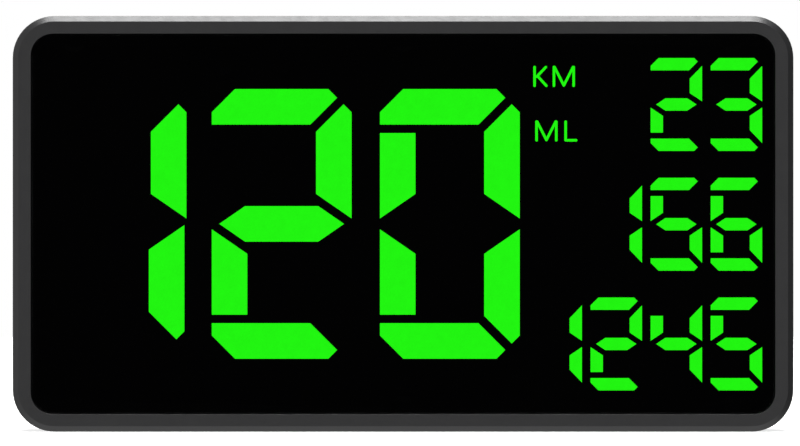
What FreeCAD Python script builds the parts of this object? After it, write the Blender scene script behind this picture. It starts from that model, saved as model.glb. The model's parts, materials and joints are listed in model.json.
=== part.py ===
import FreeCAD, Part
import math
import os
import re
import Sketcher
from FreeCAD import Placement, Rotation, Vector

# A dash-top speed display with a solar charging panel: a shallow two-shell case that holds a
# lit segment display, standing on a friction-hinged foot.  X runs across the front, Y runs from
# the front face to the back, Z is up.  Millimetres.  The origin is under the middle of the whole
# object, on the surface that it stands on.

DRIVING = [
    # case
    ("overallDepth", 67.0, "front face to the back edge of the foot"),
    ("caseWidth", 130.5, "case, side to side"),
    ("caseHeight", 69.5, "case, bottom to top"),
    ("caseDepth", 17.0, "case, front face to back face"),
    ("cornerRadius", 7.0, "outer corners of the case"),
    ("wall", 1.7, "moulded wall"),
    ("bezelDepth", 6.0, "front shell, up to the seam"),
    ("bezelChamfer", 0.95, "bevel round the front face"),
    ("rearFillet", 2.5, "rounding round the back face"),
    ("seamChamfer", 0.25, "small bevel on both sides of the seam"),
    ("lipHeight", 1.0, "tongue of the rear cover inside the bezel"),
    ("lipThickness", 0.75, "tongue, across"),
    ("fitGap", 0.05, "gap between parts that slide together in assembly"),
    # window
    ("windowWidth", 124.4, "opening for the lens"),
    ("windowHeight", 63.6, "opening for the lens"),
    ("windowRadius", 3.7, "corners of that opening"),
    ("lensGap", 0.1, "gap round the lens"),
    ("lensRecess", 0.1, "lens below the front face"),
    ("lensThickness", 1.5, "lens"),
    ("lensChamfer", 0.15, "bevel round the front of the lens"),
    ("tapeThickness", 0.2, "adhesive under the lens"),
    ("ledgeThickness", 1.4, "ledge that the lens is bonded to"),
    ("ledgeOpeningWidth", 122.8, "opening inside the ledge"),
    ("ledgeOpeningHeight", 59.4, "opening inside the ledge"),
    ("ledgeOpeningRadius", 1.5, "corners of that opening"),
    # display block and board
    ("blockWidth", 122.4, "reflector block of the display"),
    ("blockHeight", 57.2, "reflector block of the display"),
    ("blockFront", 1.75, "front of the block, behind the front face"),
    ("barFront", 1.65, "front of the light bars"),
    ("barBack", 5.5, "back of the light bars"),
    ("lampHeight", 0.55, "lamp chips"),
    ("boardFront", 6.3, "front of the circuit board"),
    ("boardThickness", 1.2, "circuit board"),
    ("boardWidth", 124.0, "circuit board"),
    ("boardRadius", 1.5, "corners of the circuit board"),
    ("sensorAcross", -30.0, "light sensor, from the middle of the case"),
    ("sensorUp", 25.7, "light sensor, from the middle of the case"),
    ("sensorTunnel", 1.3, "radius of the hole in front of the light sensor"),
    ("sensorHeight", 0.8, "light sensor"),
    # large digits
    ("bigWidth", 23.39, "large digit"),
    ("bigHeight", 45.12, "large digit"),
    ("bigStroke", 5.95, "segment width"),
    ("bigCorner", 3.88, "bevel on the outer corners"),
    ("bigPitch", 28.13, "digit to digit"),
    ("bigLeft", -60.13, "left side of the first digit, from the middle of the case"),
    # small digits
    ("smallWidth", 8.61, "small digit"),
    ("smallHeight", 15.55, "small digit"),
    ("smallStroke", 2.07, "segment width"),
    ("smallCorner", 1.32, "bevel on the outer corners"),
    ("smallPitch", 10.05, "digit to digit"),
    ("smallRight", 60.07, "right side of the last digit, from the middle of the case"),
    ("rowPitch", 20.03, "row to row"),
    ("rowTop", 27.75, "top of the upper row, from the middle of the case"),
    # fasteners
    ("caseScrewAcross", 55.0, "outer case screws, from the middle"),
    ("caseScrewUp", 30.85, "case screws, from the middle"),
    ("bossRadius", 2.1, "screw boss of the bezel"),
    ("bossStart", 2.2, "start of the bosses, behind the front face"),
    ("bossEnd", 12.0, "end of the bosses, behind the front face"),
    ("pilotStart", 4.0, "bottom of the screw holes in the bosses"),
    ("tubeWall", 0.9, "wall round the screw seats of the rear cover"),
    ("screwRadius", 0.98, "thread of every small screw"),
    ("threadFit", 0.02, "gap between a thread and its hole"),
    ("screwHeadRadius", 1.85, "small screw head"),
    ("screwHeadHeight", 1.3, "small screw head"),
    ("screwSeat", 14.2, "seat of the case screw heads, behind the front face"),
    ("caseScrewLength", 8.0, "under the head"),
    ("boardScrewLength", 4.5, "under the head"),
    ("postRadius", 1.3, "posts of the rear cover that hold the board"),
    ("postAcross", 59.5, "those posts, from the middle"),
    ("postUp", 26.4, "those posts, from the middle"),
    # solar panel
    ("solarWidth", 86.0, "solar panel"),
    ("solarHeight", 38.0, "solar panel"),
    ("solarAcross", -14.0, "middle of the panel, from the middle of the case"),
    ("solarUp", 8.8, "middle of the panel, from the middle of the case"),
    ("solarRadius", 1.4, "corners of the panel"),
    ("solarRecess", 1.8, "tray in the back face"),
    ("solarGap", 0.2, "gap round the panel in its tray"),
    ("trayFloor", 1.5, "wall behind the tray"),
    ("trayMargin", 1.3, "wall round the tray"),
    ("trayBevel", 0.3, "bevel round the tray's mouth"),
    ("solarTape", 0.2, "adhesive under the panel"),
    ("solarBoard", 0.8, "backing board of the panel"),
    ("cellWidth", 9.9, "one cell"),
    ("cellPitch", 10.3, "cell to cell"),
    ("cellThickness", 0.2, "one cell"),
    ("cellMargin", 2.0, "board showing above and below the cells"),
    ("ribbonThickness", 0.06, "ribbons that join the cells"),
    ("glazeThickness", 0.6, "cover of the panel, with its rim"),
    ("glazeRim", 1.2, "rim of the cover, bonded to the board"),
    ("leadHole", 1.3, "radius of the hole for the panel's leads"),
    ("leadHoleAcross", 23.0, "that hole, from the middle of the case"),
    ("leadHoleUp", 22.8, "that hole, from the middle of the case"),
    # hinge
    ("hingeBack", 5.0, "hinge axis behind the back face"),
    ("hingeUp", 5.5, "hinge axis above the ground"),
    ("barrelRadius", 4.5, "hinge barrels"),
    ("barrelMiddle", 30.0, "middle of each barrel, from the middle"),
    ("barrelWidth", 8.0, "barrel on the case"),
    ("barrelRoot", 1.6, "barrel's web set into the case"),
    ("barrelFit", 0.05, "gap round the pin in the barrel"),
    ("earWidth", 2.8, "ears on the foot"),
    ("earGap", 0.5, "gap that holds a washer"),
    ("earRun", 13.4, "web of the ears, from the axis to the back"),
    ("earFit", 0.01, "gap round the pin in the ears and nuts"),
    ("hingePinRadius", 1.5, "hinge pin"),
    ("pinHeadRadius", 2.75, "head of the hinge pin"),
    ("pinHeadHeight", 1.5, "head of the hinge pin"),
    ("pinEnd", 0.2, "hinge pin past its nut"),
    ("nutRadius", 3.1, "nut, over the corners"),
    ("nutHeight", 2.2, "nut"),
    ("washerRadius", 3.6, "friction washer"),
    ("washerThickness", 0.4, "friction washer"),
    ("washerFit", 0.04, "gap round the pin in a washer"),
    # foot
    ("footWidth", 84.0, "foot"),
    ("footStart", 27.2, "front of the foot's plate, behind the front face"),
    ("footUnder", 1.0, "underside of the plate above the ground"),
    ("footThickness", 3.4, "plate of the foot"),
    ("footRadius", 6.0, "corners of the foot"),
    ("footRounding", 1.2, "rounding round the top of the foot"),
    ("weightWidth", 66.0, "steel weight in the foot"),
    ("weightDepth", 28.0, "steel weight in the foot"),
    ("weightThickness", 1.8, "steel weight in the foot"),
    ("weightRadius", 2.0, "corners of the weight"),
    ("weightGap", 0.2, "gap round the weight"),
    ("weightMiddle", 47.0, "middle of the weight, behind the front face"),
    ("padWidth", 78.0, "grip pad under the foot"),
    ("padDepth", 36.4, "grip pad under the foot"),
    ("padRadius", 4.0, "corners of the grip pad"),
    ("padMiddle", 47.3, "middle of the pad, behind the front face"),
    # side controls
    ("controlDepth", 9.1, "middle of the socket and of both controls, behind the front face"),
    ("recess", 0.25, "caps of the controls below the side face"),
    ("switchDepth", 3.2, "bodies of both switches, front to back"),
    ("socketUp", -18.0, "charging socket, from the middle of the case"),
    ("socketMouth", -64.5, "open end of the socket, from the middle of the case"),
    ("socketLength", 7.3, "charging socket"),
    ("socketWidth", 8.94, "charging socket, outside"),
    ("socketThickness", 3.2, "charging socket, outside"),
    ("socketSheet", 0.3, "metal of the socket"),
    ("jogUp", 8.0, "jog lever, from the middle of the case"),
    ("jogPivot", 57.8, "jog lever's pivot, from the middle of the case"),
    ("jogFront", 61.0, "face of the jog switch, from the middle of the case"),
    ("jogOpening", 11.6, "opening for the jog lever, along the side"),
    ("jogCapHeight", 8.4, "thumb piece of the jog lever"),
    ("jogCapLength", 2.3, "thumb piece, across"),
    ("powerUp", -14.0, "middle of the power switch's travel"),
    ("powerTravel", 2.5, "travel of the power switch"),
    ("powerKnob", 3.8, "thumb piece of the power switch"),
    ("powerKnobDepth", 2.5, "thumb piece, front to back"),
    ("movingGap", 0.3, "gap round the thumb pieces"),
    ("buzzerAcross", 42.0, "buzzer, from the middle of the case"),
    ("buzzerUp", -16.0, "buzzer, from the middle of the case"),
    ("buzzerRadius", 6.0, "buzzer"),
    ("soundHole", 0.6, "radius of the sound holes"),
    ("soundSpacing", 2.1, "rings of sound holes"),
]
NAMES = {alias for alias, _, _ in DRIVING}
SIZE = {alias: number for alias, number, _ in DRIVING}

doc = FreeCAD.newDocument("SpeedDisplay")
sheet = doc.addObject("Spreadsheet::Sheet", "Sizes")
finished = []  # every sub-part, in the order made


# ---------------------------------------------------------------- helpers


def fill_sheet():
    for row, (alias, number, meaning) in enumerate(DRIVING, 1):
        sheet.set(f"A{row}", meaning)
        sheet.set(f"B{row}", str(number))
        sheet.setAlias(f"B{row}", alias)
    doc.recompute()


def formula(text):
    """A formula of sheet names, as FreeCAD wants it."""
    return re.sub(
        r"[A-Za-z]\w*",
        lambda word: "Sizes." + word.group() if word.group() in NAMES else word.group(),
        str(text),
    )


def amount(text):
    """What a formula of sheet names comes to."""
    return float(sheet.evalExpression(formula(text)))


def bind(thing, prop, text):
    thing.setExpression(prop, formula(text))


def place(thing, across=0, back=0, up=0):
    """Ties the place of a sub-part to formulas."""
    for axis, text in zip("xyz", (across, back, up)):
        bind(thing, f"Placement.Base.{axis}", text)


def place_in_case(thing, across=0, back=0, up=0):
    """The same, from the middle of the case's front face."""
    place(thing, across, f"({back}) - overallDepth / 2", f"({up}) + caseHeight / 2")


def keep(thing, label):
    """Marks a document object as a finished sub-part."""
    thing.Label = label
    finished.append(thing)
    return thing


def new_body(label):
    body = doc.addObject("PartDesign::Body", label)
    return keep(body, label)


def sketch_on(body, plane, name, right=0, up=0, out=0):
    """A sketch on one of the body's origin planes, shifted in it and along its normal."""
    sketch = body.newObject("Sketcher::SketchObject", name)
    origin = next(f for f in body.Origin.OriginFeatures if f.Role == plane)
    sketch.AttachmentSupport = [(origin, "")]
    sketch.MapMode = "FlatFace"
    for axis, text in zip("xyz", (right, up, out)):
        bind(sketch, f"AttachmentOffset.Base.{axis}", text)
    return sketch


def front_sketch(body, name, depth=0, right=0, up=0):
    """A sketch parallel to the front face, at a depth behind it."""
    return sketch_on(body, "XZ_Plane", name, right, up, f"-({depth})")


def dimension(sketch, kind, text, *where):
    """A dimension of a sketch, tied to a formula."""
    index = sketch.addConstraint(Sketcher.Constraint(kind, *where, amount(text)))
    sketch.setExpression(f"Constraints[{index}]", formula(text))


def rounded_rectangle(sketch, width, height, radius):
    """A rounded rectangle round the sketch's origin."""
    w, h, r = amount(width) / 2, amount(height) / 2, amount(radius)
    corners = [(w - r, h - r), (r - w, h - r), (r - w, r - h), (w - r, r - h)]
    middle = sketch.GeometryCount
    for quarter, (x, y) in enumerate(corners):
        begin = math.pi / 2 * quarter
        circle_of_arc = Part.Circle(Vector(x, y, 0), Vector(0, 0, 1), r)
        sketch.addGeometry(Part.ArcOfCircle(circle_of_arc, begin, begin + math.pi / 2))
    sides = [
        ((w - r, h), (r - w, h)),
        ((-w, h - r), (-w, r - h)),
        ((r - w, -h), (w - r, -h)),
        ((w, r - h), (w, h - r)),
    ]
    for begin, end in sides:
        sketch.addGeometry(Part.LineSegment(Vector(*begin, 0), Vector(*end, 0)))
    arcs = [middle + n for n in range(4)]
    lines = [middle + 4 + n for n in range(4)]
    for n in range(4):
        sketch.addConstraint(Sketcher.Constraint("Tangent", arcs[n], 2, lines[n], 1))
        following = arcs[(n + 1) % 4]
        sketch.addConstraint(Sketcher.Constraint("Tangent", lines[n], 2, following, 1))
    sketch.addConstraint(Sketcher.Constraint("Horizontal", lines[0]))
    sketch.addConstraint(Sketcher.Constraint("Vertical", lines[1]))
    for n in (1, 2):
        sketch.addConstraint(Sketcher.Constraint("Equal", arcs[0], arcs[n]))
    sketch.addConstraint(Sketcher.Constraint("Symmetric", arcs[0], 3, arcs[2], 3, -1, 1))
    dimension(sketch, "Radius", radius, arcs[0])
    dimension(sketch, "DistanceX", width, lines[1], 1, lines[3], 1)
    dimension(sketch, "DistanceY", height, lines[2], 1, lines[0], 1)


def circle(sketch, radius, right=0, up=0):
    centre = Vector(amount(right), amount(up), 0)
    index = sketch.addGeometry(Part.Circle(centre, Vector(0, 0, 1), amount(radius)))
    dimension(sketch, "Radius", radius, index)
    dimension(sketch, "DistanceX", right, -1, 1, index, 3)
    dimension(sketch, "DistanceY", up, -1, 1, index, 3)


def grow(body, sketch, length, name, reversed_way=True):
    """A pad.  From a front sketch it grows towards the back unless told otherwise."""
    pad = body.newObject("PartDesign::Pad", name)
    pad.Profile = sketch
    pad.Reversed = reversed_way
    bind(pad, "Length", length)
    doc.recompute()
    return pad


def cut(body, sketch, length, name, reversed_way=False):
    """A pocket.  From a front sketch it cuts towards the back unless told otherwise."""
    before = body.Shape.Volume
    pocket = body.newObject("PartDesign::Pocket", name)
    pocket.Profile = sketch
    pocket.Reversed = reversed_way
    bind(pocket, "Length", length)
    doc.recompute()
    if body.Shape.Volume > before - 1e-6:
        raise ValueError(f"{name} cuts nothing from {body.Label}")
    return pocket


def edges_where(shape, test):
    return [f"Edge{n}" for n, edge in enumerate(shape.Edges, 1) if test(edge.BoundBox)]


def soften(body, kind, size, name, test):
    """A fillet or a chamfer on the tip's edges whose boxes pass the test."""
    base = body.Tip
    edges = edges_where(base.Shape, test)
    if not edges:
        raise ValueError(f"{name} finds no edge on {body.Label}")
    dressed = body.newObject(f"PartDesign::{kind}", name)
    dressed.Base = (base, edges)
    bind(dressed, "Radius" if kind == "Fillet" else "Size", size)
    doc.recompute()
    return dressed


def flat_at(axis, where):
    """A test for edges that lie in one plane across an axis."""
    low, high = axis + "Min", axis + "Max"
    at = amount(where)
    return lambda box: abs(getattr(box, low) - at) < 1e-4 and abs(getattr(box, high) - at) < 1e-4


def block(name, across, deep, high):
    """A box whose sizes are formulas: across X, deep Y, high Z."""
    box = doc.addObject("Part::Box", name)
    bind(box, "Length", across)
    bind(box, "Width", deep)
    bind(box, "Height", high)
    return box


def middle_block(name, sizes, centre):
    """A box in the case, given its sizes, the middle of its X and Z and the front of its Y."""
    across, deep, high = sizes
    box = block(name, across, deep, high)
    x, front, z = centre
    place_in_case(box, f"({x}) - ({across}) / 2", front, f"({z}) - ({high}) / 2")
    return box


def rod(name, radius, length, centre, axis="back"):
    """A cylinder in the case.  It runs to the back, up or across from its starting point."""
    cylinder = doc.addObject("Part::Cylinder", name)
    bind(cylinder, "Radius", radius)
    bind(cylinder, "Height", length)
    turns = {
        "back": Rotation(Vector(1, 0, 0), -90),
        "across": Rotation(Vector(0, 1, 0), 90),
        "up": Rotation(),
    }
    cylinder.Placement = Placement(Vector(), turns[axis])
    place_in_case(cylinder, *centre)
    return cylinder


def joined(name, pieces):
    fuse = doc.addObject("Part::MultiFuse", name)
    fuse.Shapes = pieces
    return fuse


def minus(name, base, tool):
    difference = doc.addObject("Part::Cut", name)
    difference.Base = base
    difference.Tool = tool
    return difference


def group(label, pieces):
    """Several separate solids that share one node."""
    together = doc.addObject("Part::Compound", label)
    together.Links = pieces
    return keep(together, label)


def shape_in_case(shape, name):
    """A shape worked out in code, drawn from the middle of the case's front face."""
    feature = doc.addObject("Part::Feature", name)
    feature.Shape = shape
    place_in_case(feature)
    return feature


# ---------------------------------------------------------------- case


def make_front_bezel():
    body = new_body("front_bezel")
    outline = front_sketch(body, "bezel_outline")
    rounded_rectangle(outline, "caseWidth", "caseHeight", "cornerRadius")
    grow(body, outline, "bezelDepth", "bezel_block")
    soften(body, "Chamfer", "bezelChamfer", "front_bevel", flat_at("Y", 0))
    soften(body, "Chamfer", "seamChamfer", "seam_bevel", flat_at("Y", "bezelDepth"))

    rebate = front_sketch(body, "lens_rebate")
    rounded_rectangle(rebate, "windowWidth", "windowHeight", "windowRadius")
    rebate_depth = "lensRecess + lensThickness + tapeThickness"
    cut(body, rebate, rebate_depth, "lens_rebate_cut")

    opening = front_sketch(body, "ledge_opening")
    rounded_rectangle(opening, "ledgeOpeningWidth", "ledgeOpeningHeight", "ledgeOpeningRadius")
    cut(body, opening, "bezelDepth", "ledge_opening_cut")

    inside = front_sketch(body, "inside", "bezelDepth")
    inset_outline(inside, "wall")
    hollow = f"bezelDepth - ({rebate_depth}) - ledgeThickness"
    cut(body, inside, hollow, "inside_cut", True)

    groove = front_sketch(body, "lip_groove", "bezelDepth")
    inset_outline(groove, "wall - lipThickness - fitGap")
    cut(body, groove, "lipHeight + fitGap", "lip_groove_cut", True)

    bosses = front_sketch(body, "bosses", "bossStart")
    pilots = front_sketch(body, "pilots", "bossEnd")
    for where in case_screw_places():
        circle(bosses, "bossRadius", *where)
        circle(pilots, "screwRadius + threadFit", *where)
    grow(body, bosses, "bossEnd - bossStart", "boss_posts")
    cut(body, pilots, "bossEnd - pilotStart", "pilot_holes", True)
    place_in_case(body)


def inset_outline(sketch, inset):
    """The outline of the case, drawn in by a distance."""
    rounded_rectangle(
        sketch, f"caseWidth - 2 * ({inset})", f"caseHeight - 2 * ({inset})", f"cornerRadius - ({inset})"
    )


def case_screw_places():
    return [
        (f"{side} * caseScrewAcross", f"{end} * caseScrewUp")
        for side in (-1, 0, 1) for end in (-1, 1)
    ]


def lens_outline(sketch):
    rounded_rectangle(
        sketch, "windowWidth - 2 * lensGap", "windowHeight - 2 * lensGap", "windowRadius - lensGap"
    )


def make_lens_and_tape():
    lens = new_body("display_lens")
    outline = front_sketch(lens, "lens_outline", "lensRecess")
    lens_outline(outline)
    grow(lens, outline, "lensThickness", "lens_plate")
    soften(lens, "Chamfer", "lensChamfer", "lens_edge", flat_at("Y", "lensRecess"))
    place_in_case(lens)

    tape = new_body("lens_tape")
    ring = front_sketch(tape, "tape_ring", "lensRecess + lensThickness")
    lens_outline(ring)
    rounded_rectangle(ring, "ledgeOpeningWidth", "ledgeOpeningHeight", "ledgeOpeningRadius")
    grow(tape, ring, "tapeThickness", "tape_strip")
    place_in_case(tape)


def make_rear_cover():
    body = new_body("rear_cover")
    outline = front_sketch(body, "cover_outline", "bezelDepth")
    inset_outline(outline, "0")
    grow(body, outline, "caseDepth - bezelDepth", "cover_block")
    soften(body, "Fillet", "rearFillet", "rear_rounding", flat_at("Y", "caseDepth"))
    soften(body, "Chamfer", "seamChamfer", "seam_bevel", flat_at("Y", "bezelDepth"))

    inside = front_sketch(body, "inside", "bezelDepth")
    inset_outline(inside, "wall")
    cut(body, inside, "caseDepth - bezelDepth - wall", "inside_cut")
    lip = front_sketch(body, "lip", "bezelDepth")
    inset_outline(lip, "wall - lipThickness")
    inset_outline(lip, "wall")
    grow(body, lip, "lipHeight", "lip_ring", False)

    # everything that grows inwards from the back wall starts half way through it
    root = "caseDepth - wall / 2"
    tray = front_sketch(body, "tray_back", root, "solarAcross", "solarUp")
    rounded_rectangle(
        tray, "solarWidth + 2 * trayMargin", "solarHeight + 2 * trayMargin", "solarRadius + trayMargin"
    )
    grow(body, tray, "solarRecess + trayFloor - wall / 2", "tray_wall", False)
    tubes = front_sketch(body, "screw_tubes", root)
    holes = front_sketch(body, "screw_holes", "caseDepth")
    seats = front_sketch(body, "screw_seats", "caseDepth")
    for where in case_screw_places():
        circle(tubes, "bossRadius + tubeWall", *where)
        circle(holes, "screwRadius + solarGap", *where)
        circle(seats, "bossRadius", *where)
    grow(body, tubes, f"{root} - bossEnd", "tubes", False)
    cut(body, holes, "caseDepth - bossEnd + wall", "holes", True)
    cut(body, seats, "caseDepth - screwSeat", "seats", True)
    posts = front_sketch(body, "board_posts", root)
    for side in (-1, 1):
        for end in (-1, 1):
            circle(posts, "postRadius", f"{side} * postAcross", f"{end} * postUp")
    grow(body, posts, f"{root} - boardFront - boardThickness", "board_post_pads", False)

    recess = front_sketch(body, "solar_recess", "caseDepth", "solarAcross", "solarUp")
    rounded_rectangle(
        recess, "solarWidth + 2 * solarGap", "solarHeight + 2 * solarGap", "solarRadius + solarGap"
    )
    cut(body, recess, "solarRecess", "solar_recess_cut", True)
    soften(body, "Chamfer", "trayBevel", "tray_bevel", on_tray_mouth)
    wire_hole = front_sketch(body, "wire_hole", "caseDepth")
    circle(wire_hole, "leadHole", "leadHoleAcross", "leadHoleUp")
    cut(body, wire_hole, "solarRecess + trayFloor + wall", "wire_hole_cut", True)
    cut_sound_holes(body)

    for side, sign in (("right", 1), ("left", -1)):
        start = f"{sign} * barrelMiddle - barrelWidth / 2"
        barrel = sketch_on(
            body, "YZ_Plane", f"barrel_{side}",
            "caseDepth + hingeBack", "hingeUp - caseHeight / 2", start,
        )
        round_ended_tongue(barrel, "barrelRadius", "hingeBack + barrelRoot")
        grow(body, barrel, "barrelWidth", f"hinge_barrel_{side}", False)
    bore = sketch_on(
        body, "YZ_Plane", "hinge_bore",
        "caseDepth + hingeBack", "hingeUp - caseHeight / 2", "-barrelMiddle - barrelWidth",
    )
    circle(bore, "hingePinRadius + barrelFit")
    cut(body, bore, "2 * (barrelMiddle + barrelWidth)", "hinge_bore_cut", True)

    gaps = "2 * movingGap"
    side_opening(body, "socket", "socketUp", f"socketWidth + {gaps}", f"socketThickness + {gaps}", -1)
    side_opening(body, "jog", "jogUp", "jogOpening", f"switchDepth + {gaps}", 1)
    power_opening = f"powerTravel + powerKnob + {gaps}"
    side_opening(body, "power", "powerUp", power_opening, f"powerKnobDepth + {gaps}", 1)
    place_in_case(body)


def on_tray_mouth(box):
    """Edges of the back face round the mouth of the solar panel's tray."""
    left = amount("solarAcross - solarWidth / 2 - trayMargin")
    right = amount("solarAcross + solarWidth / 2 + trayMargin")
    low = amount("solarUp - solarHeight / 2 - trayMargin")
    high = amount("solarUp + solarHeight / 2 + solarGap + fitGap")
    inside = left < box.XMin and box.XMax < right and low < box.ZMin and box.ZMax < high
    return inside and flat_at("Y", "caseDepth")(box)


def cut_sound_holes(body):
    """A hole over the buzzer's middle with two rings of holes round it."""
    sound = front_sketch(body, "sound_holes", "caseDepth")
    circle(sound, "soundHole", "buzzerAcross", "buzzerUp")
    for ring in (1, 2):
        count = 6 * ring
        for n in range(count):
            turn = 360 / count * n
            circle(
                sound, "soundHole",
                f"buzzerAcross + {ring} * soundSpacing * cos({turn})",
                f"buzzerUp + {ring} * soundSpacing * sin({turn})",
            )
    cut(body, sound, "2 * wall", "sound_holes_cut", True)


def round_ended_tongue(sketch, radius, length):
    """The round end is about the sketch's origin, and the rest runs towards the front."""
    r, front = amount(radius), -amount(length)
    arc = Part.ArcOfCircle(Part.Circle(Vector(), Vector(0, 0, 1), r), -math.pi / 2, math.pi / 2)
    sketch.addGeometry(arc)
    corners = [Vector(0, r, 0), Vector(front, r, 0), Vector(front, -r, 0), Vector(0, -r, 0)]
    for begin, end in zip(corners, corners[1:]):
        sketch.addGeometry(Part.LineSegment(begin, end))
    close_round_outline(sketch, radius)
    dimension(sketch, "DistanceX", length, 1, 2, -1, 1)


def close_round_outline(sketch, radius):
    """Ties an arc about the origin and the three lines that close it."""
    sketch.addConstraint(Sketcher.Constraint("Coincident", 0, 3, -1, 1))
    sketch.addConstraint(Sketcher.Constraint("Tangent", 0, 2, 1, 1))
    sketch.addConstraint(Sketcher.Constraint("Coincident", 1, 2, 2, 1))
    sketch.addConstraint(Sketcher.Constraint("Coincident", 2, 2, 3, 1))
    sketch.addConstraint(Sketcher.Constraint("Tangent", 3, 2, 0, 1))
    sketch.addConstraint(Sketcher.Constraint("Horizontal", 1))
    sketch.addConstraint(Sketcher.Constraint("Vertical", 2))
    dimension(sketch, "Radius", radius, 0)


def side_opening(body, name, up, high, deep, side):
    """An opening with round corners in the left or right wall, at the depth of the controls."""
    start = "-caseWidth / 2 - wall" if side < 0 else "caseWidth / 2 - 2 * wall"
    sketch = sketch_on(body, "YZ_Plane", f"{name}_opening", "controlDepth", up, start)
    rounded_rectangle(sketch, deep, high, "socketThickness / 2" if side < 0 else "movingGap")
    cut(body, sketch, "3 * wall", f"{name}_opening_cut", True)


# ---------------------------------------------------------------- segment display


def segment_outlines(width, height, stroke, corner, gaps, slope):
    """The seven segments of a digit as corner points, from its top left corner, downwards.

    gaps holds five widths: the slanting cut between a and b on its upper and on its lower side,
    the straight gap between a and f, half the gap at the middle of a side, and the gap round the
    middle bar.  slope is the rise over run of the cuts beside the middle bar."""
    above, below, straight, half_middle, round_bar = gaps
    w, h, s, c = width, height, stroke, corner
    middle = h / 2
    tip = (round_bar * math.hypot(1, slope) - half_middle) / slope
    shoulder = tip + s / 2 / slope
    notch = middle - half_middle - slope * s
    a = [
        (0, s), (0, c), (c, 0), (w - c, 0),
        (w - (c + above) / 2, (c - above) / 2), (w - above - s, s),
    ]
    b = [(w, c), (w, middle - half_middle), (w - s, notch), (w - s, s + below)]
    if below < c:
        b.insert(0, (w - (c - below) / 2, (c + below) / 2))
    f = [(0, s + straight), (s, s + straight), (s, notch), (0, middle - half_middle)]
    g = [
        (tip, middle), (shoulder, middle - s / 2), (w - shoulder, middle - s / 2),
        (w - tip, middle), (w - shoulder, middle + s / 2), (shoulder, middle + s / 2),
    ]
    outlines = {"a": a, "b": b, "f": f, "g": g}
    for name, source in (("d", a), ("c", b), ("e", f)):
        outlines[name] = [(x, h - y) for x, y in source]
    return outlines


LARGE_TEXT = "120"
SMALL_ROWS = {"upper": "23", "middle": "156", "lower": "1245"}
LIT = {
    "0": "abcdef", "1": "bc", "2": "abdeg", "3": "abcdg", "4": "bcfg",
    "5": "acdfg", "6": "acdefg",
}
LARGE_GAPS, LARGE_SLOPE = (0.95, 1.2, 1.42, 0.90, 1.45), 0.69
SMALL_GAPS, SMALL_SLOPE = (0.12, 1.40, 1.0, 0.52, 0.95), 0.67
# the right segments of the first digit stand a little aside, as (to the right, upwards)
FIRST_DIGIT_NUDGES = {"b": (0.50, 0.0), "c": (0.16, 0.70)}


def digits():
    """Each digit as (group, character, left, top, outlines, nudges of its segments)."""
    large = segment_outlines(
        SIZE["bigWidth"], SIZE["bigHeight"], SIZE["bigStroke"], SIZE["bigCorner"],
        LARGE_GAPS, LARGE_SLOPE,
    )
    small = segment_outlines(
        SIZE["smallWidth"], SIZE["smallHeight"], SIZE["smallStroke"], SIZE["smallCorner"],
        SMALL_GAPS, SMALL_SLOPE,
    )
    for n, character in enumerate(LARGE_TEXT):
        left = SIZE["bigLeft"] + n * SIZE["bigPitch"]
        nudges = {} if n else FIRST_DIGIT_NUDGES
        yield "speed", character, left, SIZE["bigHeight"] / 2, large, nudges
    for row, (name, text) in enumerate(SMALL_ROWS.items()):
        top = SIZE["rowTop"] - row * SIZE["rowPitch"]
        for n, character in enumerate(reversed(text)):
            left = SIZE["smallRight"] - SIZE["smallWidth"] - n * SIZE["smallPitch"]
            yield name, character, left, top, small, {}


def segments():
    """(group, is it lit, corners in the case's front view) of every segment."""
    for name, character, left, top, outlines, nudges in digits():
        for segment, points in sorted(outlines.items()):
            right, up = nudges.get(segment, (0.0, 0.0))
            corners = [(left + x + right, top - y + up) for x, y in points]
            yield name, segment in LIT[character], corners


# strokes of the unit letters, from the lower left corner of each letter
LETTER_STROKES = {
    "K": [((0, 0), (0, 3.1)), ((0.36, 1.5), (1.88, 3.1)), ((0.5, 1.6), (1.96, 0))],
    "M": [
        ((0, 0), (0, 3.1)), ((0.1, 3.1), (1.65, 0.05)),
        ((1.65, 0.05), (3.2, 3.1)), ((3.3, 3.1), (3.3, 0)),
    ],
    "L": [((0, 3.1), (0, 0)), ((0, 0), (1.75, 0))],
}
LEGENDS = [("K", 22.0, 23.12), ("M", 25.24, 23.12), ("M", 22.33, 13.99), ("L", 27.2, 13.99)]
STROKE_RADIUS = 0.22


def prism(corners, near, far):
    """A flat outline in the case's front view, as a solid between two depths."""
    points = [Vector(x, near, z) for x, z in corners]
    face = Part.Face(Part.makePolygon(points + points[:1]))
    return face.extrude(Vector(0, far - near, 0))


def letter_solid(letter, left, bottom, near, far):
    """A letter made of round-ended strokes, as one solid."""
    pieces = []
    for (x1, z1), (x2, z2) in LETTER_STROKES[letter]:
        begin = Vector(left + x1, near, bottom + z1)
        end = Vector(left + x2, near, bottom + z2)
        along = end - begin
        side = Vector(-along.z, 0, along.x).normalize() * STROKE_RADIUS
        outline = [begin + side, end + side, end - side, begin - side]
        pieces.append(prism([(p.x, p.z) for p in outline], near, far))
        for centre in (begin, end):
            pieces.append(Part.makeCylinder(STROKE_RADIUS, far - near, centre, Vector(0, 1, 0)))
    return pieces[0].multiFuse(pieces[1:]).removeSplitter().Solids[0]


def make_light_bars():
    near, far = SIZE["barFront"], SIZE["barBack"]
    bars = {}
    for name, lit, corners in segments():
        label = f"{name}_segments" if lit else "dark_segments"
        bars.setdefault(label, []).append(prism(corners, near, far))
    bars["unit_legends"] = [letter_solid(*legend, near, far) for legend in LEGENDS]
    for label, solids in sorted(bars.items()):
        keep(shape_in_case(Part.makeCompound(solids), label), label)


def board_screw_places():
    return [(x, z) for x in (-52.0, 12.0) for z in (-25.7, 25.7)]


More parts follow.
